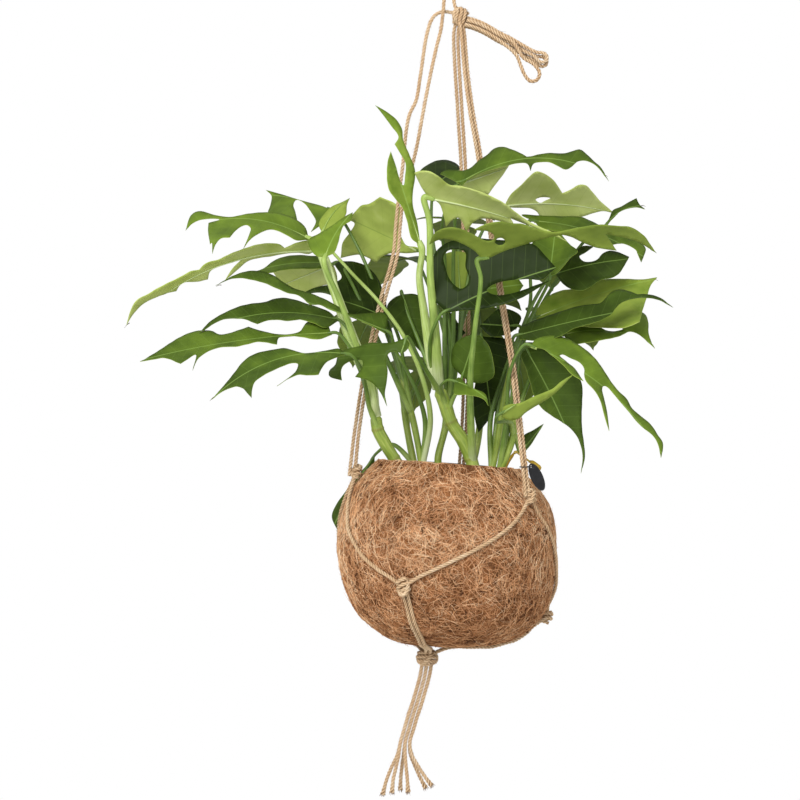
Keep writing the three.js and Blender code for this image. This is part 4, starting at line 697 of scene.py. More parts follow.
# The matting stands up round the front of the mouth and hides the nursery pot's rim
def lipRise(turn, fall):
    front = 0.5 - 0.5 * np.sin(turn) + 0.12 * np.sin(13 * turn) * np.cos(5 * turn)
    front = np.clip(front, matting["lipLeast"], 1)
    return matting["lip"] * front * np.exp(-(fall / matting["lipFades"]) ** 2)


def coirSkin(turn, distance):
    place = coirPlace(turn, distance, smoothRun, smoothOutline)
    place[..., 2] += lipRise(turn, distance)
    out = coirOut(turn, distance, smoothRun, smoothOutline)
    return place + out * lumps(turn, distance)[..., None], out


def coirBody():
    turn = 2 * np.pi * np.arange(matting["rings"]) / matting["rings"]
    rows = []
    for radius, height in matting["wall"]:
        flat = settled(np.cos(turn) * radius, np.sin(turn) * radius, np.full_like(turn, float(height)))
        flat[:, 2] += lipRise(turn, -height)
        rows.append(flat)
    rng = np.random.default_rng(3)
    for distance in np.linspace(0, lastRun, matting["rows"])[:-1]:
        skin, out = coirSkin(turn, np.full_like(turn, distance))
        rough = rng.uniform(*matting["rough"], len(turn)) * min(distance / 6, 1)
        rows.append(skin + out * rough[:, None])
    rows.append(np.repeat(coirPlace([0.0], lastRun), len(turn), axis=0))
    rows = np.array(rows)
    index = np.arange(rows.shape[0] * rows.shape[1]).reshape(rows.shape[:2])
    low, high = index[:-1], index[1:]
    quads = np.stack([low, high, np.roll(high, -1, 1), np.roll(low, -1, 1)], axis=-1)
    part = newPart()
    tones = rng.uniform(*matting["shade"], rows.shape[:2]).reshape(-1)
    addMesh(part, rows, [quads.reshape(-1, 4)], marks=np.stack([tones, tones * 0, tones * 0], axis=-1))
    return part


# Joins the points that meet where a mesh closes, and turns all of its faces outwards
def tidyPoles(piece):
    work = bmesh.new()
    work.from_mesh(piece.data)
    bmesh.ops.remove_doubles(work, verts=work.verts, dist=1e-6)
    bmesh.ops.recalc_face_normals(work, faces=work.faces)
    work.to_mesh(piece.data)
    work.free()


tidyPoles(makePiece("coirShell", coirBody(), [coirMat], ["coir_pot"]))


# Fibres wander over the skin: each keeps a heading that bends a little at every step. Real ones are finer and
# many more, and these are as coarse as they need to be to show. A pale smoother band runs round above the
# widest place, and the foot is darker with painted shade.
fibres = {"first": 2, "last": 238, "wander": 0.16, "rise": (-0.15, 0.55), "hump": 0.5, "uneven": 0.12,
          "band": 70, "bandWide": 14, "bandPale": 0.12, "footFrom": 95, "footShade": 0.3}
fibreKinds = {
    "coirFibresDark": {"count": 8600, "seed": 200, "length": (7, 30), "radius": (0.15, 0.32), "lift": 0,
                       "shift": -0.14, "steps": 4, "bend": 0.6},
    "coirFibresLight": {"count": 8600, "seed": 201, "length": (7, 30), "radius": (0.15, 0.32), "lift": 0,
                        "shift": 0.1, "steps": 4, "bend": 0.6},
    "coirStrayFibres": {"count": 700, "seed": 210, "length": (6, 22), "radius": (0.08, 0.15), "lift": 3,
                        "shift": 0.15, "steps": 6, "bend": 0.5},
    "coirHuskFlecks": {"count": 150, "seed": 220, "length": (2.5, 6), "radius": (0.7, 1.4), "lift": 0,
                       "shift": -0.7, "steps": 4, "bend": 0.1},
}
few = 1


def coirFibres(kind, count):
    rng = np.random.default_rng(kind["seed"])
    steps = kind["steps"]
    choices = np.linspace(fibres["first"], fibres["last"], 400)
    weight = np.interp(choices, smoothRun, smoothOutline[:, 0])
    distance = rng.choice(choices, count, p=weight / weight.sum())
    turn = rng.uniform(0, 2 * np.pi, count)
    heading = rng.uniform(0, 2 * np.pi, count)
    bend = rng.normal(0, kind["bend"], count)
    step = rng.uniform(*kind["length"], count) / (steps - 1)
    turns, distances = [turn], [distance]
    for _ in range(steps - 1):
        around = np.maximum(np.interp(distances[-1], smoothRun, smoothOutline[:, 0]), 10)
        turns.append(turns[-1] + np.cos(heading) * step / around)
        distances.append(np.clip(distances[-1] + np.sin(heading) * step, 0.5, fibres["last"] + 1))
        heading = heading + bend + rng.normal(0, fibres["wander"], count)
    turns, distances = np.array(turns).T, np.array(distances).T
    skin, out = coirSkin(turns, distances)
    share = np.linspace(0, 1, steps)[None]
    height = rng.uniform(*fibres["rise"], (count, 1))
    height = height + fibres["hump"] * np.sin(np.pi * share) * rng.uniform(0, 1, (count, 1))
    height = height + rng.normal(0, fibres["uneven"], (count, steps))
    height = height + kind["lift"] * share ** 2.2 * rng.uniform(0.3, 1, (count, 1))
    radii = rng.uniform(*kind["radius"], (count, 1)) * np.interp(share, [0, 0.15, 0.85, 1], [0.4, 1, 1, 0.35])
    shade = rng.beta(2.4, 2.1, count) + kind["shift"]
    middle = distances.mean(axis=1)
    # painted shade: the fibres darken towards the foot, under the pot
    shade = shade - fibres["footShade"] * np.clip((middle - fibres["footFrom"]) / 100, 0, 1)
    shade = shade + fibres["bandPale"] * np.exp(-((middle - fibres["band"]) / fibres["bandWide"]) ** 2)
    part = newPart()
    addThreads(part, skin + out * height[..., None], out, radii, shade)
    return part


for name, kind in fibreKinds.items():
    count = kind["count"] if name == "coirHuskFlecks" else int(kind["count"] * few)
    makePiece(name, coirFibres(kind, count), [coirFibre])
print("coir ready")

# The nursery pot inside and the potting soil in it
nursery = {"height": 128, "rimOver": 2.5, "rimDeep": 9, "topRadius": 61.5, "footRadius": 50, "wall": 1.3,
           "neckIn": 1.5, "sides": 96, "soilBelow": 9}


# Places of an upright pot, leaned as the coir's mouth is
def inPot(points):
    x, y, z = np.moveaxis(np.asarray(points, float), -1, 0)
    level, rise = math.cos(coir["tilt"]), math.sin(coir["tilt"])
    return np.stack([x * level + z * rise, y, -x * rise + z * level], axis=-1) + np.array(coir["mouth"])


def nurseryPot():
    top, wall, height = nursery["rimOver"], nursery["wall"], nursery["height"]
    rim, base, foot = nursery["topRadius"], nursery["footRadius"], top - height
    below = top - nursery["rimDeep"] - 1
    neck = base + (rim - nursery["neckIn"] - base) * (below - foot) / height
    profile = [
        (base - 2, foot), (base, foot + 1.5), (neck, below), (rim, below + 1), (rim, top - 0.5),
        (rim - 0.4, top), (rim - wall + 0.2, top), (rim - wall, top - 0.6), (neck - wall, below - 1),
        (base - wall, foot + wall + 0.6), (base - wall - 2, foot + wall),
    ]
    sides = nursery["sides"]
    turn = 2 * np.pi * np.arange(sides) / sides
    around = np.stack([np.cos(turn), np.sin(turn), turn * 0], axis=1)
    rows = np.array([around * radius + (0, 0, z) for radius, z in profile])
    index = np.arange(len(profile) * sides).reshape(-1, sides)
    part = newPart()
    addMesh(part, inPot(rows), [gridQuads(index), index[:1, ::-1], index[-1:]])
    return part


# Polypropylene: thin and moulded, black, with a soft shine
polypropyleneLook = {
    "shader": {"Roughness": 0.42}, "patches": [(9, 3, 1)], "stops": [(0.3, "#141415"), (0.8, "#26262a")],
    "bump": (0.8, 3, 0.1, 0.4),
}
polypropylene = newMaterial("polypropylene", polypropyleneLook)[0]
makePiece("nurseryPot", nurseryPot(), [polypropylene], ["grow_pot"])

# Peat potting soil: loose and damp, so it is matt and dark, with paler crumbs
peatLook = {
    "shader": {"Roughness": 0.95, "Specular IOR Level": 0.2}, "tone": (0.5, 0), "patches": [(3, 3, 0.7)],
    "stops": [(0.25, "#1d140e"), (0.55, "#3a2a1e"), (0.95, "#6d543c")], "bump": (0.9, 3, 0.7, 0.9),
}
peat = newMaterial("peatSoil", peatLook)[0]


# The soil's rough top and side, and loose crumbs of bark and peat on it
soil = {"sides": 72, "rows": 20, "inside": 2, "taper": 1.5, "foot": -24, "mound": 1.2, "rough": (-1.1, 0.9),
        "crumbs": 420, "crumb": (0.7, 2.4), "crumbUp": 1.0}
crumbCorners = np.array([[1, 0, 0], [0, 1, 0], [-1, 0, 0], [0, -1, 0], [0, 0, 0.7], [0, 0, -0.7]])
crumbFaces = np.array([
    (0, 1, 4), (1, 2, 4), (2, 3, 4), (3, 0, 4), (1, 0, 5), (2, 1, 5), (3, 2, 5), (0, 3, 5),
])


def soilPart():
    rng = np.random.default_rng(5)
    sides, rows = soil["sides"], soil["rows"]
    radius = nursery["topRadius"] - nursery["wall"] - soil["inside"]
    turn = 2 * np.pi * np.arange(sides) / sides
    around = np.stack([np.cos(turn), np.sin(turn), turn * 0], axis=-1)
    places = [around * (radius - soil["taper"]) + (0, 0, soil["foot"])]
    for row in range(rows):
        rough = rng.uniform(*soil["rough"], sides) * (0 < row < rows - 1)
        level = around * radius * (1 - row / (rows - 1))
        level[:, 2] = rough + soil["mound"] * (row / rows) - nursery["soilBelow"]
        places.append(level)
    index = np.arange(len(places) * sides).reshape(-1, sides)
    part = newPart()
    addMesh(part, inPot(places), [gridQuads(index), index[:1, ::-1]], marks=(0.3, 0, 0))
    for _ in range(int(soil["crumbs"] * few)):
        away, angle = radius * math.sqrt(rng.uniform(0, 0.94)), rng.uniform(0, 2 * np.pi)
        size = rng.uniform(*soil["crumb"])
        uneven = unit(rng.normal(0, 1, (6, 3))) * size * rng.uniform(0.6, 1, (6, 1))
        centre = (math.cos(angle) * away, math.sin(angle) * away, soil["crumbUp"] - nursery["soilBelow"])
        crumb = crumbCorners * size + uneven * 0.45 + np.array(centre)
        addMesh(part, inPot(crumb), [crumbFaces], marks=(rng.uniform(0.2, 1), 0, 0), flat=True)
    return part


tidyPoles(makePiece("soilCrumbs", soilPart(), [peat], ["soil"]))
print("pot and soil ready")

# Leaves. The side veins leave the midrib every few millimetres and run forwards as they run out, and a groove
# lies over the midrib.
blade = {"thick": 0.5, "spacing": 3.4, "sweep": 0.17, "petiole": 4.0, "sides": 10, "groove": 0.45,
         "grooveWide": 1.3}
veins = {"apart": 11, "slant": 0.42, "edge": (-4.444, 1.044), "rib": (-1.818, 1.5), "ribShare": 0.5}
traced = {"fold": 0.28, "curl": 0.012, "swell": 0.1, "ripple": 0.5}
arched = {"rise": 24, "fold": math.radians(12), "curl": 0.12, "swell": 0.35, "ripple": 2, "droop": 0.3}
# Each cut of a blade at the back: where along the midrib, how near it, and its mouth
cutPatterns = {
    "open": [(0.15, 0.2, 0.16), (0.44, 0.2, 0.17)],
    "wide": [(0.28, 0.2, 0.25)],
    "late": [(0.42, 0.2, 0.19)],
}


def coverOf(along):
    return np.sin(np.pi * np.clip(along, 1e-6, 1) ** 0.55).clip(0) ** 0.75


# Half a blade's outline from its foot to its tip, in runs that meet at the pointed ends of its lobes
def halfRuns(cuts, rng):
    sweep = blade["sweep"]
    run = [(0.0, 0.0), (-0.036, 0.2), (-0.022, 0.46), (0.05, 0.76)]
    runs, rear = [], 0.16
    for at, near, mouth in cuts:
        mouth *= rng.uniform(0.9, 1.1)
        front = at + sweep - mouth / 2 + 0.02
        run.append((rear, coverOf(rear) * (0.8 if runs else 1)))
        if front - rear > 0.09:
            middle = front * 0.55 + rear * 0.45
            run.append((middle, coverOf(middle) * 0.99))
        run.append((front - 0.012, coverOf(front) * 0.98))
        point = (front + rng.uniform(0.022, 0.038), coverOf(front) * rng.uniform(0.93, 1.0))
        runs.append([*run, point])
        back = at + 0.05 + sweep * 0.5 + mouth * 0.22
        run = [
            point, (front - 0.004, coverOf(front) * 0.84),
            (at + sweep * 0.42 - mouth * 0.12, coverOf(at) * 0.5), (at - 0.002, near + 0.1),
            (at + 0.02, near), (at + 0.062, near + 0.05), (back, coverOf(at + 0.1) * 0.52),
            (back + 0.055, coverOf(back) * 0.68),
        ]
        rear = at + sweep + mouth / 2 + 0.05
    run.append((rear, coverOf(rear) * 0.8))
    for share, cover in ((0.3, 0.98), (0.55, 0.98), (0.78, 0.8)):
        along = rear + (1 - rear) * share
        run.append((along, coverOf(along) * cover))
    return [*runs, [*run, (0.965, coverOf(0.965) * 0.42), (1.0, 0.0)]]


# A blade at the back arches from its base to its tip
def archedFrame(leaf):
    start, end = sighted(leaf["base"]), sighted(leaf["tip"])
    length = np.linalg.norm(end - start)
    ahead = (end - start) / length
    across = unit(np.cross(ahead, (0, 0, 1)))
    middle = (start + end) / 2 + np.cross(across, ahead) * arched["rise"]

    def at(along):
        along = np.atleast_1d(np.asarray(along, float))
        within = np.clip(along, 0, 1)[:, None]
        forward = unit(2 * (1 - within) * (middle - start) + 2 * within * (end - middle))
        place = (1 - within) ** 2 * start + 2 * within * (1 - within) * middle + within ** 2 * end
        place = place + forward * (along[:, None] - within) * length
        side = unit(across - forward * (forward * across).sum(-1, keepdims=True))
        return place, forward, side, np.cross(side, forward)
    return at, length


# A surface gives the place at so far along a blade and so far across it in millimetres, off its middle
def archedSurface(leaf):
    at, length = archedFrame(leaf)
    half, lift = leaf["half"], arched["fold"]

    def surface(along, across, off):
        place, forward, side, face = at(along)
        away = np.abs(across) / half
        ripple = arched["ripple"] * np.sin(9 * along + 2.5 * np.sign(across)) * away * away
        # the blade swells a little between its side veins and hooks down at its lobes' ends
        vein = (along * length - veins["slant"] * away * half) / veins["apart"]
        within = np.clip(away * 3, 0, 1) * np.clip(1.15 - away, 0, 1)
        swell = arched["swell"] * np.cos(2 * np.pi * vein) * within
        droop = arched["droop"] * half * np.clip(away - 0.6, 0, 1) ** 2
        groove = blade["groove"] * np.exp(-(away * half / blade["grooveWide"]) ** 2)
        rise = half * away * math.sin(lift) - arched["curl"] * half * away * away
        rise = rise + ripple - swell - droop - groove + off
        return place + side * (across * math.cos(lift))[:, None] + face * rise[:, None]
    return surface, at, length


def insideRing(points, ring):
    x, y = points[:, 0][:, None], points[:, 1][:, None]
    (fromX, fromY), (toX, toY) = ring.T[:, None], np.roll(ring, -1, 0).T[:, None]
    crosses = (fromY > y) != (toY > y)
    meets = x < (toX - fromX) * (y - fromY) / np.where(toY == fromY, 1e-9, toY - fromY) + fromX
    return (crosses & meets).sum(1) % 2 == 1


def spacedRing(points, step):
    run = runOf(points)
    count = max(2, int(round(run[-1] / step)))
    wanted = np.linspace(0, run[-1], count + 1)
    return np.stack([np.interp(wanted, run, points[:, k]) for k in (0, 1)], axis=1)


# A blade's outline from its cut pattern, in millimetres along and across it
def patternRings(leaf, length, rng):
    near = leaf.get("near", "open")
    far = "wide" if near == "open" else near
    size = np.array([length, leaf["half"]])
    halves = []
    for side, cuts in ((1, near), (-1, far)):
        runs = [spanPoints(np.array(run) * size, 8) * (1, side) for run in halfRuns(cutPatterns[cuts], rng)]
        halves.append(np.vstack([spacedRing(run, blade["spacing"] * 0.62)[:-1] for run in runs]))
    return np.vstack([halves[0], [(length, 0)], halves[1][1:][::-1]]), []


# A blade traced where it is seen: its midrib bows between its base and tip, and on either side of it the
# blade gains depth with height, by slope, less fold where it is creased, and more towards its edges
def seenFrame(leaf):
    base, tip = np.array(leaf["base"], float), np.array(leaf["tip"], float)
    chord = (tip - base)[[0, 2]]
    length = np.linalg.norm(chord)
    ahead = chord / length
    up = np.array([-ahead[1], ahead[0]]) * (1 if ahead[0] > 0 else -1)
    return base, tip, length, ahead, up


def bowAt(leaf, along):
    within = np.clip(along, 0, 1)
    return 4 * leaf.get("bow", 0) * within * (1 - within)


def tracedSurface(leaf):
    base, tip, length, ahead, up = seenFrame(leaf)
    slope, curl = leaf.get("slope", 1), leaf.get("curl", traced["curl"])
    shows = -1 if leaf.get("under") else 1
    stretch = math.hypot(1, slope)

    def plain(along, away):
        rise = away / stretch
        seen = base[[0, 2]] + ahead * (along * length)[:, None] + up * (rise + bowAt(leaf, along))[:, None]
        depth = base[1] + (tip[1] - base[1]) * np.clip(along, -0.2, 1.2) + slope * rise
        depth = depth - traced["fold"] * np.abs(rise) + math.copysign(curl, slope) * rise * np.abs(rise)
        spread = (eye["away"] + depth) / eye["away"]
        return np.stack([eye["side"] + (seen[:, 0] - eye["side"]) * spread, depth,
                         eye["height"] + (seen[:, 1] - eye["height"]) * spread], axis=1)

    def frameAt(along, away):
        place = plain(along, away)
        forward, side = unit(plain(along + 0.01, away) - place), unit(plain(along, away + 0.5) - place)
        face = unit(np.cross(forward, side))
        return place, forward, side, face * np.where(face[:, 1] > 0, -shows, shows)[:, None]

    def surface(along, across, off):
        place, forward, side, face = frameAt(along, across)
        far = np.abs(across)
        vein = (along * length - veins["slant"] * far) / veins["apart"]
        swell = traced["swell"] * np.cos(2 * np.pi * vein) * np.clip(far / 8, 0, 1)
        groove = blade["groove"] * np.exp(-(far / blade["grooveWide"]) ** 2)
        ripple = traced["ripple"] * np.sin(across / 9 + along * 7) * np.clip(far / 20, 0, 1)
        return place + face * (swell - groove + ripple + off)[:, None]

    def at(along):
        along = np.atleast_1d(np.asarray(along, float))
        return frameAt(along, np.zeros(len(along)))
    return surface, at, length


# A traced outline's runs of points meet at its pointed ends; the blade's own measure is along and across it
def tracedRings(leaf):
    base, tip, length, ahead, up = seenFrame(leaf)
    stretch = math.hypot(1, leaf.get("slope", 1))
    step = blade["spacing"] * 0.6

    def measured(seen):
        offset = seen - base[[0, 2]]
        along = offset @ ahead
        return np.stack([along, (offset @ up - bowAt(leaf, along / length)) * stretch], axis=1)
    start = np.array(leaf["edge"][-1][-1], float)
    runs = []
    for run in leaf["edge"]:
        points = np.array([start, *run], float)
        start = points[-1]
        runs.append(spacedRing(measured(spanPoints(points, 8)), step)[:-1])
    outer = np.vstack(runs)
    if doubleArea(outer) < 0:
        outer = outer[::-1]
    holes = []
    for ring in leaf.get("holes", []):
        closed = np.array([ring[-1], *ring, ring[0], ring[1]], float)
        holes.append(spacedRing(measured(spanPoints(closed, 6)[6:-5]), step)[:-1])
    return outer, holes


def doubleArea(ring):
    after = np.roll(ring, -1, 0)
    return (ring[:, 0] * after[:, 1] - ring[:, 1] * after[:, 0]).sum()


# A blade: points spaced evenly inside its outline, joined to triangles, on an upper and an under skin with a
# rim between them, and a midrib that stands proud under it
midrib = {"points": 27, "end": 0.94, "radii": (1.25, 0.85, 0.22), "proud": 0.25, "paler": 0.25}


def bladeMesh(part, leaf, rng):
    surface, at, length = tracedSurface(leaf) if "edge" in leaf else archedSurface(leaf)
    spacing = blade["spacing"]
    outer, holes = tracedRings(leaf) if "edge" in leaf else patternRings(leaf, length, rng)
    low, high = outer.min(0), outer.max(0)
    xs, ys = np.arange(low[0], high[0], spacing), np.arange(low[1], high[1], spacing * 0.87)
    grid = np.array([(x + (row % 2) * spacing / 2, y) for row, y in enumerate(ys) for x in xs])
    grid = grid + rng.uniform(-0.25, 0.25, grid.shape)
    keep = insideRing(grid, outer)
    for hole in holes:
        keep &= ~insideRing(grid, hole)
    every = np.vstack([outer, *holes])
    gap = np.sqrt(((grid[:, None] - every[None]) ** 2).sum(-1)).min(1)
    keep &= (gap > spacing * 0.5) & (np.abs(grid[:, 1]) > spacing * 0.55)
    middle = np.stack([np.arange(spacing, length - spacing, spacing * 0.7)] * 2, axis=1) * (1, 0)
    middle = middle[insideRing(middle, outer)]
    middleGap = np.sqrt(((middle[:, None] - every[None]) ** 2).sum(-1)).min(1)
    middle = middle[middleGap > spacing * 0.3]
    flat = np.vstack([outer, *holes, middle, grid[keep]])
    edges, start = [], 0
    for ring in (outer, *holes):
        edges += [(start + i, start + (i + 1) % len(ring)) for i in range(len(ring))]
        start += len(ring)
    made = delaunay_2d_cdt([Vector(p) for p in flat.tolist()], edges, [], 2, 1e-4)
    flat = np.array([tuple(v) for v in made[0]])
    faces = np.array([f for f in made[2] if len(f) == 3])
    for hole in holes:
        faces = faces[~insideRing(flat[faces].mean(1), hole)]
    corners = flat[faces]
    one, two = corners[:, 1] - corners[:, 0], corners[:, 2] - corners[:, 0]
    turned = one[:, 0] * two[:, 1] - one[:, 1] * two[:, 0] < 0
    faces[turned] = faces[turned][:, ::-1]
    along, thick, tone = flat[:, 0] / length, blade["thick"] / 2, leaf["tone"]
    marks = np.stack([np.full(len(flat), tone), flat[:, 0], flat[:, 1]], axis=1)
    pairs = np.concatenate([faces[:, (0, 1)], faces[:, (1, 2)], faces[:, (2, 0)]])
    twins = {(int(b), int(a)) for a, b in pairs}
    rim = np.array([(a, b) for a, b in pairs.tolist() if (a, b) not in twins])
    start = addMesh(part, surface(along, flat[:, 1], -thick), [faces], 1, marks)
    addMesh(part, surface(along, flat[:, 1], thick), [faces[:, ::-1]], 0, marks)
    walls = np.stack([rim[:, 1], rim[:, 0], rim[:, 0] + len(flat), rim[:, 1] + len(flat)], axis=1) + start
    part["faces"].extend(walls.tolist())
    part["finish"].extend([1] * len(walls))
    part["flat"].extend([True] * len(walls))
    way = np.linspace(0.0, midrib["end"], midrib["points"])
    inside = insideRing(np.stack([way * length, way * 0], axis=1), outer)
    inside[:2] = True
    way = way[:np.argmin(inside)] if not inside.all() else way
    line = surface(way, way * 0, -thick - midrib["proud"])
    radii = np.interp(way, [0, 0.15, way[-1]], midrib["radii"])
    addTube(part, line, radii, 6, 2, tone + midrib["paler"], along=way * 40)
    return surface, at


def curveAt(points, share):
    dense = spanPoints(points, 24)
    place = share * (len(dense) - 1)
    k = int(min(place, len(dense) - 2))
    here = dense[k] + (dense[k + 1] - dense[k]) * (place - k)
    return here, unit(dense[min(k + 2, len(dense) - 1)] - dense[max(k - 1, 0)])


# A petiole runs by its seen places, or else in a bow from the stem to the blade's foot
def petioleLine(leaf, at, root, upwards):
    place, forward, side, face = (v[0] for v in at(0.0))
    under = face * -0.6
    end, before = place + forward * 4 + under, place - forward * 5 + under
    if "via" in leaf:
        return spanPoints([root, *[sighted(p) for p in leaf["via"]], before, end], 10)
    reach = np.linalg.norm(before - root)
    early = root + upwards * reach * 0.4
    late = before - forward * reach * 0.18 - np.array([0, 0, reach * 0.12])
    share = np.linspace(0, 1, 5)[:, None]
    rest = 1 - share
    curve = rest ** 3 * root + 3 * share * rest ** 2 * early
    curve = curve + 3 * share ** 2 * rest * late + share ** 3 * before
    return spanPoints([*curve, end], 8)


# A stem with its joints, and a petiole and a blade for each leaf. A petiole pales towards its sheath.
shoot = {"perSpan": 14, "sides": 16, "rootDeep": 24, "collar": 4, "joint": 0.45, "jointLong": 1.3,
         "endPoints": 6, "stalk": 0.35, "sheath": 0.4, "sheathLong": 34, "flatter": 0.88}
petioleShape = ([0, 0.25, 0.6, 0.9, 0.96, 1], [1.4, 1.2, 0.85, 0.7, 0.8, 0.6])


def leafyStem(name, stem, materials, seed):
    rng = np.random.default_rng(seed)
    part = newPart()
    rootEnd = inPot([*stem["foot"], -nursery["soilBelow"] - shoot["rootDeep"]])
    collar = inPot([*stem["foot"], -nursery["soilBelow"] + shoot["collar"]])
    points = [collar, *[sighted(p) for p in stem["route"]]]
    line = np.vstack([rootEnd[None], spanPoints(points, shoot["perSpan"])])
    run = runOf(line)
    radii = stem["thick"] / 2 * (1 + 0.03 * np.sin(run / 6 + rng.uniform(0, 6)))
    marks = np.zeros(len(line))
    for i in stem.get("joints", []):
        near = np.exp(-((run - run[1 + shoot["perSpan"] * i]) / shoot["jointLong"]) ** 2)
        radii = radii + shoot["joint"] * near
        marks = np.maximum(marks, near)
    radii[-shoot["endPoints"]:] *= np.linspace(1, 0.45, shoot["endPoints"])
    addTube(part, line, radii, shoot["sides"], 3, along=run, tone=marks)
    for leaf in stem["leaves"]:
        root, upwards = curveAt(points, leaf.get("at", 0.7))
        surface, at = bladeMesh(part, leaf, rng)
        path = petioleLine(leaf, at, root, upwards)
        run = runOf(path)
        radii = leaf.get("petiole", blade["petiole"]) / 2 * np.interp(run / run[-1], *petioleShape)
        paler = shoot["sheath"] * np.exp(-(run / shoot["sheathLong"]) ** 2)
        # a petiole's tone is partly painted shade: those in front are set paler, the rest stay dark as in the
        # foliage's shade
        stalk = leaf.get("stalk", shoot["stalk"]) + paler
        addTube(part, path, radii, blade["sides"], 2, stalk, along=run, flatter=shoot["flatter"])
        if "thread" in leaf:
            addThread(part, leaf["thread"], surface, at)
    makePiece(name, part, materials, [stem["node"]])


# Some blades end in a thin dry thread
def addThread(part, length, surface, at):
    start = surface(np.array([0.985]), np.array([0.0]), 0.0)[0]
    ahead = at(1.0)[1][0]
    share = np.linspace(0, 1, 9)[:, None]
    path = start + ahead * length * share + np.array([0, 0, -0.55 * length]) * share ** 2
    addTube(part, path, np.linspace(0.45, 0.12, 9), 5, 4, 0.3)


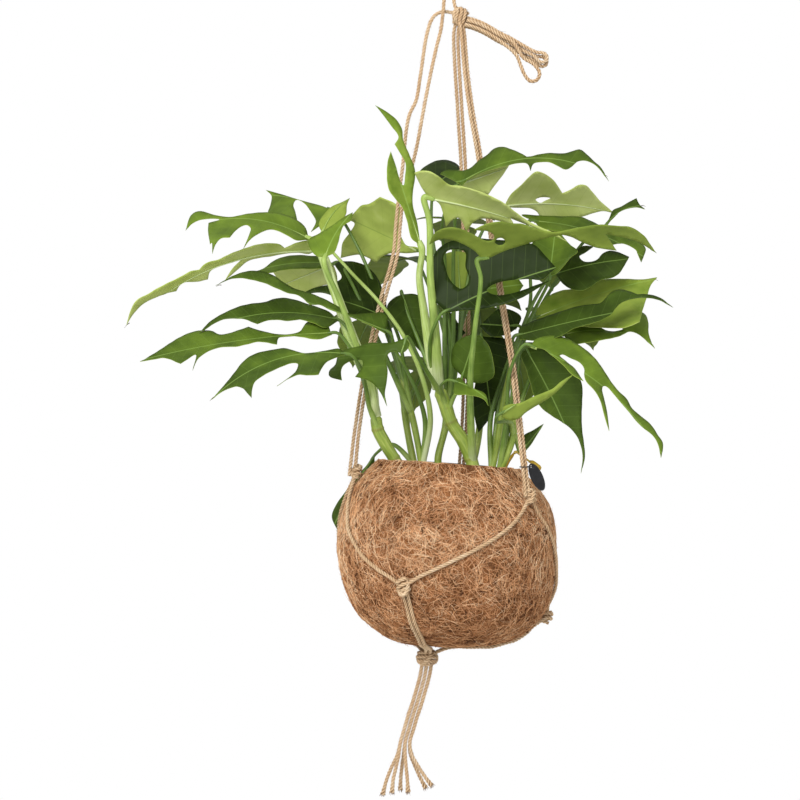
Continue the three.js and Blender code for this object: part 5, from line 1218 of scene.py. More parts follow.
# The stems. Places are seen ones in the plane of the pot's axis, with their depth; a base, a tip and via
# places are side, depth and height, and an edge has the side and height of its points, run by run.
# A leaf's tone runs from dark to light: partly the leaf's own age, and partly painted shade, low for leaves
# deep in the foliage and for shaded undersides.
leafyStemLeft = {
    "node": "leafy_stem_left", "foot": (-43, -9), "thick": 11,
    "route": [(-50, -10, -421), (-59, -13, -406), (-65, -15, -394), (-67, -16, -380)], "joints": [1, 3],
    "leaves": [
        {"at": 0.95, "base": (-128, -5, -220), "tip": (-238, -30, -210), "bow": 13, "slope": 1.4,
         "petiole": 7.5, "stalk": 0.8, "tone": 0.55, "via": [(-74, -20, -350), (-89, -14, -318),
         (-108, -4, -262)], "edge": [
            [(-131, -211), (-138, -204), (-150, -198), (-166, -196), (-184, -197.5), (-200, -200.5),
             (-215, -198.5), (-229, -195.5), (-236, -200), (-240.5, -213)],
            [(-235, -207), (-228, -203.5), (-218, -202), (-209, -202.5), (-219.5, -206)],
            [(-220, -213), (-218, -226)],
            [(-216.5, -224), (-216, -234)],
            [(-213, -226), (-208, -220.5), (-200, -219.5)],
            [(-195, -213.5), (-189, -209), (-184, -208), (-181, -211), (-182.5, -217), (-188, -229.5)],
            [(-182, -221.5), (-175, -216.5), (-162, -212), (-150, -216), (-139, -221.5), (-128, -221)]]},
        {"at": 0.9, "base": (-121, 14, -231), "tip": (-294, 0, -299), "bow": 20, "slope": -1.5, "under": True,
         "petiole": 5.5, "stalk": 0.95, "tone": 0.7, "thread": 5, "via": [(-70, -20, -350), (-83, -20, -318),
         (-101, -6, -270)], "edge": [
            [(-128, -223), (-138, -224), (-150, -229)],
            [(-155, -225.5), (-165, -224.5), (-175, -225.5), (-185, -228.5), (-200, -234), (-210, -239),
             (-222, -242.5), (-228, -248.5)],
            [(-236, -250), (-245, -255), (-258, -261.5), (-268, -267), (-276, -272), (-284, -276),
             (-289, -283), (-294.5, -299)],
            [(-290.5, -292.5), (-286, -286.5), (-278, -279), (-268, -274), (-258, -270), (-249, -268)],
            [(-246, -263), (-241, -260), (-230, -259.5), (-220, -257.5)],
            [(-218, -250), (-208, -245), (-198, -242), (-190, -239.5), (-197, -247), (-204, -258)],
            [(-192, -248), (-184, -241), (-174, -238), (-163, -236.5)],
            [(-150, -234), (-138, -233), (-128, -234), (-121, -231)]]},
        {"at": 0.95, "base": (-104, -15, -293.5), "tip": (-226, -35, -305), "bow": 11, "slope": 1.6,
         "tone": 0.28, "thread": 4, "via": [(-70, -26, -350), (-79, -25, -325)], "edge": [
            [(-110, -287), (-120, -283), (-130, -279.5), (-141, -275.5), (-152, -274), (-161, -275.5),
             (-168, -278), (-179, -279.5), (-190, -282), (-200, -286), (-210, -291), (-219, -297),
             (-227.5, -306)],
            [(-221, -302), (-214, -297.5), (-206, -294), (-197, -293), (-187, -293.5), (-175, -298.5)],
            [(-167, -295.5), (-158, -294.5), (-147, -295.5), (-136, -294)],
            [(-124, -297), (-112, -301), (-101, -295)]]},
        {"at": 0.75, "base": (-107, -36, -306), "tip": (-281, -60, -331), "bow": 5, "slope": 1.7,
         "tone": 0.42, "edge": [
            [(-112, -297), (-121, -294), (-130, -297), (-136, -305), (-146, -307.5), (-157, -307.5),
             (-167, -305.5), (-183, -300.5)],
            [(-192, -303.5), (-203, -307), (-210, -307.5), (-216, -305), (-226, -304.5), (-236, -306.5),
             (-246, -311), (-256, -317), (-267, -324), (-282, -332.5)],
            [(-270, -330.5), (-261, -329), (-255, -330), (-245, -334.5)],
            [(-240, -331), (-231, -326), (-234, -341)],
            [(-229, -330), (-223, -325), (-215, -321), (-205, -319), (-195, -319), (-185, -317),
             (-174, -314.5), (-157, -317)],
            [(-155.5, -311), (-147, -309), (-135, -310), (-120, -312), (-107, -308)]]},
        {"at": 0.65, "base": (-95, -88, -325), "tip": (-216, -118, -366), "bow": 15, "slope": 1.4,
         "tone": 0.34, "thread": 4, "edge": [
            [(-100, -321), (-112, -322.5), (-124, -324), (-134, -324.5), (-143, -322), (-151, -320),
             (-161, -321.5), (-171, -323.5), (-180, -327), (-188, -333), (-196, -343), (-205, -354),
             (-217, -367)],
            [(-209, -361), (-201, -357), (-194, -355), (-188, -357), (-184.5, -361), (-180, -366)],
            [(-179.5, -359), (-177.5, -352), (-172, -347), (-163, -342), (-153, -337.5), (-145, -334.5),
             (-138, -334.5), (-139, -340), (-145, -346), (-157, -354.5)],
            [(-146, -347.5), (-137, -344), (-128, -344.5), (-119, -344)],
            [(-116, -338), (-112, -333), (-104, -329), (-95, -326)]]},
        {"at": 0.98, "base": (-113, -76, -237), "tip": (-89, -44, -197), "bow": 3, "slope": 0.8, "petiole": 6,
         "stalk": 0.62, "tone": 0.55, "via": [(-69, -30, -368), (-74, -34, -345), (-82, -42, -325),
         (-99, -64, -278)], "edge": [
            [(-121, -236), (-127, -229), (-128, -221), (-118, -215), (-108, -209), (-98, -202), (-88, -196)],
            [(-89, -203), (-96, -208), (-99, -215), (-101, -224), (-105, -233), (-113, -237)]]},
    ],
}
leafyStemSlim = {
    "node": "leafy_stem_slim", "foot": (-24, 14), "thick": 6,
    "route": [(-26, 14, -421), (-33, 17, -385), (-44, 22, -345)],
    "leaves": [
        {"base": (-108, 60, -193), "tip": (-164, 90, -180), "bow": 2, "slope": 1.2, "tone": 0.5, "edge": [
            [(-118, -189.5), (-128, -187), (-140, -183.5), (-152, -180), (-167, -176)],
            [(-162, -181), (-163, -189), (-165.5, -197), (-163, -205), (-150, -210)],
            [(-139, -206), (-140, -197), (-142, -189), (-139, -184.5), (-132, -188), (-126, -196),
             (-121.5, -204), (-126, -214)],
            [(-116, -206), (-108, -193)]]},
        {"base": (-106, 62, -243), "tip": (-178, 84, -250), "bow": 4, "slope": 1.6, "tone": 0.4,
         "via": [(-66, 8, -310), (-92, 30, -255)], "edge": [
            [(-112, -238), (-126, -236), (-138, -235), (-150, -236.5), (-160, -240.5), (-168, -246.5),
             (-181, -251.5)],
            [(-165, -251.5), (-152, -249), (-138, -248), (-124, -248), (-106, -246)]]},
        {"at": 0.05, "base": (-115, 28, -214), "tip": (-92, 50, -185), "bow": 3, "slope": 0.6, "under": True,
         "stalk": 0.75, "tone": 0.42, "via": [(-17, 3, -385), (-25, -4, -345), (-42, -12, -308),
         (-64, -17, -278), (-92, 4, -248)], "edge": [
            [(-119, -207), (-114, -198), (-107, -191), (-99, -187.5), (-90.5, -183.5)],
            [(-93, -189), (-94, -198), (-100, -206), (-108, -214), (-115, -216)]]},
        {"base": (-106, 86, -243), "tip": (-152, 100, -262), "slope": -0.8, "under": True, "tone": 0.8,
         "edge": [
            [(-116, -238), (-130, -240), (-145, -244), (-161, -250)],
            [(-157, -256), (-150, -262), (-142, -266), (-130, -270.5)],
            [(-122, -266), (-112, -262), (-101.5, -262.5)],
            [(-102.5, -252), (-106, -243)]]},
        {"base": (-58, 8, -292), "tip": (-134, 20, -271), "bow": 4, "slope": 0.9, "tone": 0.08, "edge": [
            [(-57, -282), (-60, -268), (-66, -255), (-77, -245), (-90, -241), (-104, -243), (-98, -256),
             (-108, -262), (-118, -264), (-126, -266.5), (-137, -272)],
            [(-126, -270), (-116, -269.5), (-107, -272), (-99, -275)],
            [(-97, -281), (-99, -287), (-90, -292), (-75, -296), (-58, -295)]]},
        {"at": 0.05, "base": (-58, -35, -304), "tip": (-210, -60, -262), "bow": 6, "slope": 1.5, "tone": 0.33,
         "thread": 5, "via": [(-22, 8, -385), (-36, -4, -345), (-50, -22, -320)], "edge": [
            [(-57, -289), (-75, -288.5), (-90, -289), (-100, -283), (-112, -276), (-126, -270), (-140, -266),
             (-150, -261), (-160, -254.5), (-170, -250.5), (-183, -250), (-196, -254), (-213, -263)],
            [(-200, -257.5), (-190, -256.5), (-178, -258.5), (-168, -261), (-156, -266), (-146, -270),
             (-138, -271.5), (-126.5, -280.5)],
            [(-118, -280.5), (-108, -285), (-98, -288.5), (-88, -291.5), (-76, -297), (-58, -307)]]},
    ],
}
leafyStemMiddle = {
    "node": "leafy_stem_middle", "foot": (24, -8), "thick": 12,
    "route": [(20, -8, -421), (13, -8, -405), (2, -8, -388), (-4, -8, -370), (-10, -8, -356)],
              "joints": [1, 3],
    "leaves": [
        {"at": 0.9, "base": (-40, -88, -314), "tip": (-60, -110, -370), "slope": 0.5, "tone": 0.35,
         "via": [(-27, -62, -330)], "edge": [
            [(-42, -324.5), (-36, -317), (-40, -311.5), (-50, -315), (-62, -315.5), (-72, -315), (-83, -319),
             (-94, -321.5), (-101, -326), (-104, -335), (-109, -341), (-109, -346), (-98, -349.5)],
            [(-99, -342), (-97, -336), (-91, -332.5), (-85, -331.5), (-79, -331.5), (-78.5, -337),
             (-85.5, -346.5)],
            [(-76, -349), (-69, -353), (-63, -360), (-56.5, -373.5)],
            [(-58.5, -362), (-57, -352), (-56, -340), (-57.5, -331), (-55, -325), (-50, -323)]]},
        {"at": 0.99, "base": (-17, -84, -183), "tip": (104, -98, -220), "bow": 4, "slope": -1.1,
         "under": True, "petiole": 7.5, "stalk": 0.65, "tone": 0.75, "via": [(-11, -26, -330),
         (-14, -50, -290), (-17, -66, -255), (-18, -80, -204)], "edge": [
            [(-22, -178), (-28, -168), (-31.5, -160.5)],
            [(-25, -158.5), (-16, -159.5), (-8, -164.5), (0, -171), (10, -172), (24, -175.5), (38, -181),
             (51, -188), (61, -196), (72, -204), (86, -211), (98, -216), (108, -223)],
            [(95, -217), (82, -211.5), (68, -206), (56, -201)],
            [(59, -208), (46, -204), (34, -202), (24, -204), (16, -213.5)],
            [(13, -206), (9, -201), (3, -203), (-2.5, -209)],
            [(-5, -198), (-9, -188), (-17, -183)]]},
        {"at": 0.9, "base": (-2, -60, -286), "tip": (96, -66, -247), "bow": 3, "slope": 0.4, "curl": 0.004,
         "tone": 0.0, "edge": [
            [(-9, -281), (-16, -275), (-17.5, -262), (-17, -246), (-13, -234), (-3, -225), (15, -220),
             (40, -221), (62, -223), (78, -226), (88, -236), (98, -247)],
            [(92, -252), (85, -257.5), (72, -257), (58, -258), (46, -260), (38, -263.5), (34.5, -267),
             (38, -270.5), (46, -272), (57, -270.5), (68, -267), (78, -263), (93, -258)],
            [(80, -266), (68, -273.5), (55, -279), (40, -283), (25, -285.5), (10, -286), (-2, -288)]],
         "holes": [[(-5, -237), (-3, -247), (0, -256), (5, -262.5), (11, -266), (17, -262), (18, -255),
                    (15, -246), (15, -233), (7, -230), (-1, -231.5)]]},
        {"at": 0.99, "base": (-26, -44, -226), "tip": (-66, -48, -100), "slope": 0.5, "petiole": 8,
         "stalk": 0.78, "tone": 0.6, "via": [(-16, -18, -330), (-23, -28, -285), (-27, -34, -255)], "edge": [
            [(-29, -206), (-33, -190), (-33, -178), (-31, -166), (-31, -157), (-36, -144), (-42, -130),
             (-43, -121), (-48, -112), (-57, -104.5), (-67, -98.5)],
            [(-60, -107.5), (-53, -117), (-46, -127.5), (-49.5, -134)],
            [(-44, -143), (-39.5, -151), (-40, -163), (-41.5, -172), (-45, -166), (-48, -155), (-53, -140.5)],
            [(-56, -151), (-55.5, -174), (-49, -184), (-43, -191), (-38, -205), (-34, -220), (-26, -226)]]},
        {"at": 0.7, "base": (5, -68, -350), "tip": (34, -80, -366), "bow": 2, "slope": 0.9, "tone": 0.45,
         "edge": [
            [(9, -347), (16, -353), (25, -358), (32, -361), (35, -366), (36, -373)],
            [(32, -367), (25, -364), (15, -363), (5, -362), (5, -350)]]},
        {"at": 0.6, "base": (12, -22, -346), "tip": (24, -34, -308), "slope": 0.4, "tone": 0.3, "edge": [
            [(3, -336), (2, -326), (5, -317), (12, -311), (20, -308), (28, -308.5)],
            [(34, -315), (39, -325), (41, -336), (40, -346), (30, -352), (20, -351), (12, -346)]]},
        {"at": 0.85, "base": (-42, 20, -272), "tip": (-23, 2, -328), "slope": 0.5, "tone": 0.2, "edge": [
            [(-50, -274), (-56, -281), (-55, -291), (-48, -301), (-38, -311), (-20, -329)],
            [(-19, -310), (-20, -290), (-24, -276), (-31, -271), (-42, -271)]]},
        # this underside's low tone is painted shade
        {"at": 0.12, "base": (31, -90, -238), "tip": (187, -104, -231), "bow": 6, "slope": -1.0,
         "under": True, "petiole": 5.5, "stalk": 0.5, "tone": 0.32, "via": [(20, -28, -390),
         (19.5, -48, -350), (24, -76, -300), (29, -88, -256)], "edge": [
            [(24, -232), (14, -226), (4, -222), (-7, -221), (-18, -225.5)],
            [(-14, -217), (-6, -211.5), (4, -210), (14, -212.5), (24, -217.5), (34, -222.5), (40, -222),
             (41, -217), (37, -213.5), (23, -212)],
            [(30, -208), (38, -205.5), (48, -204.5), (56, -206), (66, -206.5), (76, -209.5), (86, -212.5),
             (98, -214), (112, -211.5), (125, -209.5), (138, -208), (152, -209), (166, -210), (173, -214),
             (179, -219), (184, -226), (189.5, -233.5)],
            [(181, -228), (172, -223), (160, -219.5), (143, -216.3)],
            [(147, -222), (153, -231)],
            [(141, -229.5), (131, -227), (121, -223), (112, -218.5), (104, -216.5), (92, -218.5), (80, -222),
             (66, -226.5), (52, -231), (40, -236), (31, -240)]],
         "holes": [[(42, -224), (44, -220), (48.5, -219.5), (51.5, -223), (49.5, -226), (45, -226.5)]]},
    ],
}
leafyStemBehind = {
    "node": "leafy_stem_behind", "foot": (-8, 22), "thick": 6.5,
    "route": [(-10, 22, -421), (-3, 23, -392), (2, 25, -365)],
    "leaves": [
        {"at": 0.55, "base": (-29, 35, -230.5), "tip": (-88, 65, -203), "slope": -1.0, "under": True,
         "tone": 0.62, "edge": [
            [(-30, -228), (-39, -226), (-44, -218), (-46, -211), (-43, -203), (-43, -194), (-52, -187),
             (-63, -182)],
            [(-73, -188.5), (-80, -190), (-86, -196), (-92.5, -203)],
            [(-86, -206), (-90, -214), (-97, -224), (-99, -238)],
            [(-90, -236), (-82, -235), (-73, -238), (-66, -242)],
            [(-60, -236), (-50, -233), (-38, -233.5), (-22, -232)]]},
        {"at": 0.6, "base": (-12, 58, -171), "tip": (14, 108, -156), "bow": 2, "slope": 1.1, "tone": 0.1,
         "edge": [
            [(-22, -168), (-27, -160), (-20, -153), (-12, -149), (-3, -148.5), (5, -151), (11, -156),
             (17, -163)],
            [(12, -172), (0, -177), (-12, -174)]]},
        {"at": 0.66, "base": (12, -54, -168), "tip": (144, -66, -163), "bow": 19, "slope": 1.2, "tone": 0.35,
         "thread": 3, "via": [(-4, 22, -300), (-4, 14, -238), (-6, -16, -206)], "edge": [
            [(6, -168), (-4, -163), (-8, -161), (0, -157.5), (9, -158.5), (18, -157), (27, -149.5),
             (35, -143.5), (40, -138.5), (48, -136), (57, -138.5), (66, -142.5), (71, -145.5)],
            [(76, -145), (81, -143.5), (92, -142), (105, -142.5), (113, -140.5), (120, -139.5), (127, -145),
             (133, -150.5), (139, -156), (146, -168)],
            [(138, -157.5), (131, -151.5), (123, -149), (117, -150), (112, -154.5), (106, -157), (100, -154),
             (92, -150.5), (82, -150.5), (77, -152), (74.5, -159)],
            [(71.5, -152), (62, -151.5), (54, -153.5)],
            [(42, -156.5), (30, -160), (20, -164), (12, -172)]]},
        {"at": 0.72, "base": (50, 48, -190), "tip": (150, 86, -196), "bow": 5, "slope": -0.9, "under": True,
         "tone": 0.78, "edge": [
            [(56, -181), (65, -172), (73, -163.5), (80, -159), (88, -161.5), (96, -167.5), (103.5, -178.5)],
            [(112, -175), (119, -171.5), (125, -172), (131, -178), (138, -186), (145, -192), (151, -197)],
            [(141, -195), (131, -197), (119, -201)],
            [(108, -202), (95, -201), (84, -200.5), (80, -195.5), (74, -192.5), (62, -192), (50, -191.5)]],
         "holes": [[(79, -184.5), (83, -182.5), (93, -183), (88, -185.5), (83, -187.5)]]},
        {"at": 0.78, "base": (-30, 100, -240), "tip": (-64, 200, -264), "half": 40, "tone": 0.2},
        {"at": 0.84, "base": (10, -38, -170), "tip": (54, -36, -155), "slope": -0.4, "under": True,
         "tone": 0.85, "via": [(4, 20, -300), (4, 6, -238), (6, -22, -198)], "edge": [
            [(16, -163), (30, -158), (43, -155), (55.5, -152)],
            [(50, -161), (43, -170), (36, -180)],
            [(26, -177), (14, -174), (4, -172), (10, -170)]]},
        {"at": 0.9, "base": (5, 40, -303), "tip": (2, 36, -345), "slope": 0.3, "tone": 0.08, "edge": [
            [(5, -292), (10, -300), (15, -306)],
            [(8, -314), (3, -322), (2, -335), (0, -348)],
            [(-3, -335), (-4, -310), (0, -286)]]},
        {"at": 0.95, "base": (10, 32, -269), "tip": (8, 36, -233), "slope": 0.3, "under": True, "tone": 0.3,
         "edge": [
            [(-4, -262), (-8, -248), (-6, -236), (4, -232), (18, -234), (26, -242), (26, -256), (18, -268),
             (6, -270)]]},
        {"at": 0.5, "base": (34, 40, -266), "tip": (66, 44, -262), "slope": 0.5, "tone": 0.5, "edge": [
            [(30, -258), (44, -253), (60, -254), (68, -263)],
            [(60, -273), (46, -275), (34, -273)]]},
    ],
}
leafyStemRight = {
    "node": "leafy_stem_right", "foot": (38, 4), "thick": 6,
    "route": [(41, 4, -424), (46, 2, -395), (52, 0, -360), (58, 0, -335)],
    "leaves": [
        {"at": 0.2, "base": (78, 20, -204), "tip": (176, 25, -236), "bow": 7, "slope": 1.5, "tone": 0.42,
         "via": [(46, 14, -370), (58, 20, -325), (74, 22, -280)], "edge": [
            [(66, -198.5), (85, -199.5), (105, -200), (120, -200), (130, -204), (142, -210), (156, -216),
             (168, -221.5), (176, -225), (179.5, -230), (178, -236), (175.5, -242)],
            [(173, -236), (171, -231), (167, -228), (158, -224.5), (150, -225.5)],
            [(140, -221), (125, -216), (110, -214.5), (95, -213), (82, -209), (78, -204)]]},
        {"base": (144, 52, -206), "tip": (176, 62, -190), "bow": 4, "slope": 1.2, "tone": 0.3, "thread": 5,
         "via": [(66, 32, -318), (96, 66, -262), (126, 66, -220)], "edge": [
            [(147, -200), (149.5, -194.5), (157, -191), (164, -187), (171, -183.5)],
            [(173.5, -188.5), (179, -193.5)],
            [(171, -191.5), (163, -192.5), (155, -196), (150.5, -201), (144, -207)]]},
        {"at": 0.1, "base": (80, 32, -292), "tip": (188, 42, -257), "bow": 3, "slope": 1.1, "tone": 0.72,
         "thread": 5, "via": [(38, 8, -385), (48, 14, -350), (60, 24, -318)], "edge": [
            [(80, -286), (85, -279), (92, -272), (102, -267.5), (114, -266), (125, -266), (132, -260.5),
             (141, -257.5), (160, -257), (177, -257.5), (190, -255.5)],
            [(184, -263), (181, -272), (178, -282), (174, -296)],
            [(160, -301), (140, -301), (120, -300), (100, -299), (80, -296)]]},
        {"base": (98, 25, -252), "tip": (162, 40, -239), "bow": 2, "slope": 1.2, "tone": 0.2, "edge": [
            [(103, -246), (110, -238), (116, -231), (122, -227), (132, -227.5)],
            [(124, -233), (119, -236), (122, -240.5), (128, -241.5), (135, -239.5), (140, -234),
             (147, -231.5), (155, -233), (164.5, -237)],
            [(160, -245), (155, -252), (149, -256), (138, -258.5), (131, -263), (122, -267), (112, -266),
             (104, -261), (98, -254)]]},
        {"base": (92, -20, -254), "tip": (97, 12, -213), "slope": 0.4, "tone": 0.4, "via": [(60, 4, -330),
         (72, 2, -298)], "edge": [
            [(98, -252), (104, -246), (111, -238), (118, -232), (111, -226), (104, -218), (98, -210)],
            [(88, -214), (80, -219), (76, -225), (76, -232), (80, -239), (86, -245), (92, -254)]]},
    ],
}
leafyStemFarRight = {
    "node": "leafy_stem_far_right", "foot": (44, -14), "thick": 6.5,
    "route": [(49, -17, -427), (58, -20, -402), (60, -22, -380)],
    "leaves": [
        {"at": 0.2, "base": (64, -30, -308), "tip": (200, -50, -279), "bow": 2, "slope": 1.3, "tone": 0.22,
         "via": [(57, -26, -370), (59, -28, -335)], "edge": [
            [(64, -303), (75, -296.5), (88, -291.5), (103, -286), (118, -281.5), (130, -280), (138, -279),
             (143, -275), (149, -269), (156, -267), (164, -268.5), (172, -271.5)],
            [(182, -271.5), (193, -274.5), (204.5, -283)],
            [(192, -276.5), (180, -274.5), (168, -275.5), (157, -279), (152, -284), (147, -290), (138, -295),
             (126, -299), (114, -302.5), (104, -308), (92, -312), (78, -313), (64, -312)]]},
        {"base": (104, 5, -308), "tip": (185, 0, -316), "bow": 8, "slope": 1.4, "tone": 0.5, "edge": [
            [(110, -303), (122, -299), (135, -296.5), (137.5, -300.5), (143, -303.5), (152, -304.5),
             (159, -302.5), (152, -298.5), (143.5, -293)],
            [(150, -287), (157, -282.5), (165, -282.5), (174, -286), (180, -290), (182, -297), (182, -306),
             (184, -313), (188, -320.5)],
            [(180, -313), (172, -307), (165, -305), (156, -309), (145, -312), (130, -314.5), (117, -316)],
            [(109, -313), (104, -308)]]},
        {"at": 0.1, "base": (75, -66, -318), "tip": (192, -84, -414), "bow": 13, "slope": 1.1, "tone": 0.5,
         "via": [(53, -36, -380), (55, -50, -345), (63, -62, -324)], "edge": [
            [(78, -313), (88, -309.5), (98, -309), (108, -311), (118, -316.5), (127, -323), (135, -331),
             (142, -341), (149, -352), (156, -360.5), (162, -366), (167, -375), (176, -383), (184, -390),
             (190, -399), (195, -407), (195, -414), (193.5, -420.5)],
            [(191.5, -410), (187, -401), (179, -394), (171, -386.5), (164, -377.5), (157, -369.5),
             (150, -361.5), (145, -356), (141.5, -354.5), (139.8, -357), (141.5, -367), (144, -379),
             (146, -396)],
            [(141, -380), (137, -366), (131, -357), (125, -350.5), (123.5, -345), (123.5, -339), (119, -333),
             (111, -329.5), (104, -326), (101, -327), (107, -332), (114, -338), (122.5, -350.5)],
            [(113, -345), (104, -335.5), (95, -327.5), (86, -321), (75, -319)]]},
        {"base": (72, -10, -324), "tip": (121, -20, -430), "bow": 3, "slope": 0.5, "tone": 0.3, "edge": [
            [(66, -326), (70, -338), (74, -351), (78, -365), (84, -374.5), (94, -382), (103, -387.5),
             (111, -393.5), (117, -401), (120.5, -410), (122, -419), (120.5, -434.5)],
            [(124, -420), (123.2, -408), (121.5, -395), (121, -382), (121.5, -368), (121.5, -355),
             (118, -345), (112, -338), (104, -332), (94, -325), (84, -320), (72, -320)]]},
        {"base": (48, -74, -379), "tip": (110, -82, -347), "bow": 2, "slope": -0.8, "under": True,
         "tone": 0.35, "edge": [
            [(50, -374), (56, -371.5), (66, -370), (76, -365), (86, -361), (95, -357), (103, -350),
             (113, -344.5)],
            [(105, -353), (97, -361), (88, -368), (78, -374), (70, -379), (64, -384), (56, -386),
             (48, -383)]]},
        {"base": (69, -5, -411), "tip": (86, 0, -390), "slope": 0.7, "tone": 0.3, "edge": [
            [(67.5, -406), (68, -400), (76, -395.5), (86.5, -389)],
            [(81, -398), (75, -408), (69, -415)]]},
    ],
}
leafyStemBackLeft = {
    "node": "leafy_stem_back_left", "foot": (-30, 38), "thick": 6.5,
    "route": [(-32, 40, -425), (-38, 48, -395), (-42, 56, -365)],
    "leaves": [
        {"base": (-62, 78, -285), "tip": (-88, 150, -338), "half": 38, "tone": 0.15},
        {"base": (-20, 80, -330), "tip": (-32, 160, -378), "half": 34, "near": "late", "tone": 0.1},
        {"at": 0.3, "base": (-69, 66, -420), "tip": (-104, 66, -480), "bow": 2, "slope": 0.2, "tone": 0.2,
         "via": [(-52, 56, -408)], "edge": [
            [(-76, -428), (-87, -441), (-96, -453), (-103, -463), (-107, -474), (-101, -488)],
            [(-92, -482), (-84, -468), (-75, -452), (-68, -436), (-68, -420)]]},
    ],
}
witheredLeaf = {
    "node": "withered_leaf", "foot": (50, 12), "thick": 3, "slot": "withered_leaf",
    "route": [(53, 12, -426), (60, 11, -415)],
    "leaves": [
        {"at": 0.97, "base": (73, 8, -423), "tip": (83, 2, -430), "slope": 0.5, "petiole": 2.2, "tone": 0.5,
         "edge": [
            [(76, -422.5), (81, -425.5), (84.5, -429), (80, -435)],
            [(77, -430), (73, -423)]]},
    ],
}
leafyStemBackRight = {
    "node": "leafy_stem_back_right", "foot": (20, 40), "thick": 6.5,
    "route": [(22, 42, -425), (28, 50, -392), (30, 58, -360)],
    "leaves": [
        {"base": (5, 95, -203), "tip": (8, 200, -236), "half": 40, "tone": 0.2},
        {"base": (62, 82, -228), "tip": (95, 180, -268), "half": 40, "tone": 0.15},
        {"base": (25, 92, -270), "tip": (32, 165, -345), "half": 42, "tone": 0.05},
        {"base": (90, 72, -285), "tip": (132, 150, -322), "half": 36, "tone": 0.15},
        {"base": (56, 80, -318), "tip": (70, 145, -372), "half": 34, "near": "late", "tone": 0.05},
        {"base": (30, 46, -312), "tip": (40, 40, -392), "slope": 0.3, "tone": 0.02, "edge": [
            [(36, -310), (48, -311), (60, -314), (66, -324), (62, -340), (54, -358), (46, -372), (36, -386),
             (27, -397)],
            [(24, -385), (22, -365), (24, -350), (22, -330), (27, -309)]]},
        {"base": (60, 46, -300), "tip": (28, 44, -298), "slope": 0.4, "tone": 0.08, "edge": [
            [(66, -292), (58, -286), (46, -284), (36, -292), (28, -300)],
            [(38, -309), (52, -308), (62, -302)]]},
    ],
}
stems = {
    "leafyStemLeft": leafyStemLeft,
    "leafyStemSlim": leafyStemSlim,
    "leafyStemMiddle": leafyStemMiddle,
    "leafyStemBehind": leafyStemBehind,
    "leafyStemRight": leafyStemRight,
    "leafyStemFarRight": leafyStemFarRight,
    "leafyStemBackLeft": leafyStemBackLeft,
    "witheredLeaf": witheredLeaf,
    "leafyStemBackRight": leafyStemBackRight,
}


# A living leaf: a waxy skin over green tissue, grown, so it has a soft shine, a pale midrib and side veins
leafBump = {"size": 6, "vein": -0.15, "depth": 0.06, "strength": 0.5}
leafGrain = {"tone": (1, -0.275), "patches": [(28, 2, 0.5), (3.5, 2, 0.05)]}
leafLooks = {
    "leafUpperSkin": {
        **leafGrain, "shader": {"Roughness": 0.46, "Specular IOR Level": 0.1},
        "rib": "#8aa855", "veinShare": 0.18,
        "stops": [(0.05, "#1f2d09"), (0.35, "#43581a"), (0.6, "#6a8229"), (0.9, "#a2b24e")],
    },
    # the under skin is paler, as it truly is, and brighter still with painted light shining through the blade
    "leafUnderSkinLitThrough": {
        **leafGrain, "shader": {"Roughness": 0.5, "Specular IOR Level": 0.1},
        "rib": "#6b8438", "veinShare": 0.35,
        "stops": [(0.1, "#5c6e28"), (0.4, "#82943c"), (0.65, "#a2b256"), (0.95, "#c6d088")],
    },
    "witheredSkin": {
        **leafGrain, "shader": {"Roughness": 0.6, "Specular IOR Level": 0.1},
        "rib": "#8f6f2c", "veinShare": 0.3,
        "stops": [(0.2, "#a8872c"), (0.6, "#cbab48"), (0.95, "#dcc46e")],
    },
}


def leafMaterial(name):
    look = leafLooks[name]
    material, tree, shader, level, colour = newMaterial(name, look)
    along = addNode(tree, "Attribute", {"attribute_name": "along"}).outputs["Fac"]
    across = addNode(tree, "Attribute", {"attribute_name": "across"}).outputs["Fac"]
    away = addNode(tree, "Math", {"operation": "ABSOLUTE"}, {0: across})
    # the side veins run forwards from the midrib
    slant = addNode(tree, "Math", {"operation": "MULTIPLY_ADD", 1: -veins["slant"]}, {0: away, 2: along})
    fromVein = addNode(tree, "Math", {"operation": "PINGPONG", 1: veins["apart"] / 2}, {0: slant})
    lines = []
    for distance, (share, start) in ((fromVein, veins["edge"]), (away, veins["rib"])):
        near = {"operation": "MULTIPLY_ADD", 1: share, 2: start, "use_clamp": True}
        lines.append(addNode(tree, "Math", near, {0: distance}))
    for line, share in zip(lines, (look["veinShare"], veins["ribShare"])):
        amount = addNode(tree, "Math", {"operation": "MULTIPLY", 1: share}, {0: line})
        pale = {"data_type": "RGBA", 7: linearColour(look["rib"])}
        colour = addNode(tree, "Mix", pale, {0: amount, 6: colour}).outputs[2]
    tree.links.new(colour, shader.inputs["Base Color"])
    place = addNode(tree, "TexCoord").outputs["Object"]
    height = addNode(tree, "TexNoise", patches(leafBump["size"], 1), {"Vector": place})
    sunk = {"operation": "MULTIPLY_ADD", 1: leafBump["vein"]}
    height = addNode(tree, "Math", sunk, {0: lines[0], 2: height})
    values = {"Distance": leafBump["depth"] * mm, "Strength": leafBump["strength"]}
    tree.links.new(addNode(tree, "Bump", values, {"Height": height}).outputs[0], shader.inputs["Normal"])
    return material


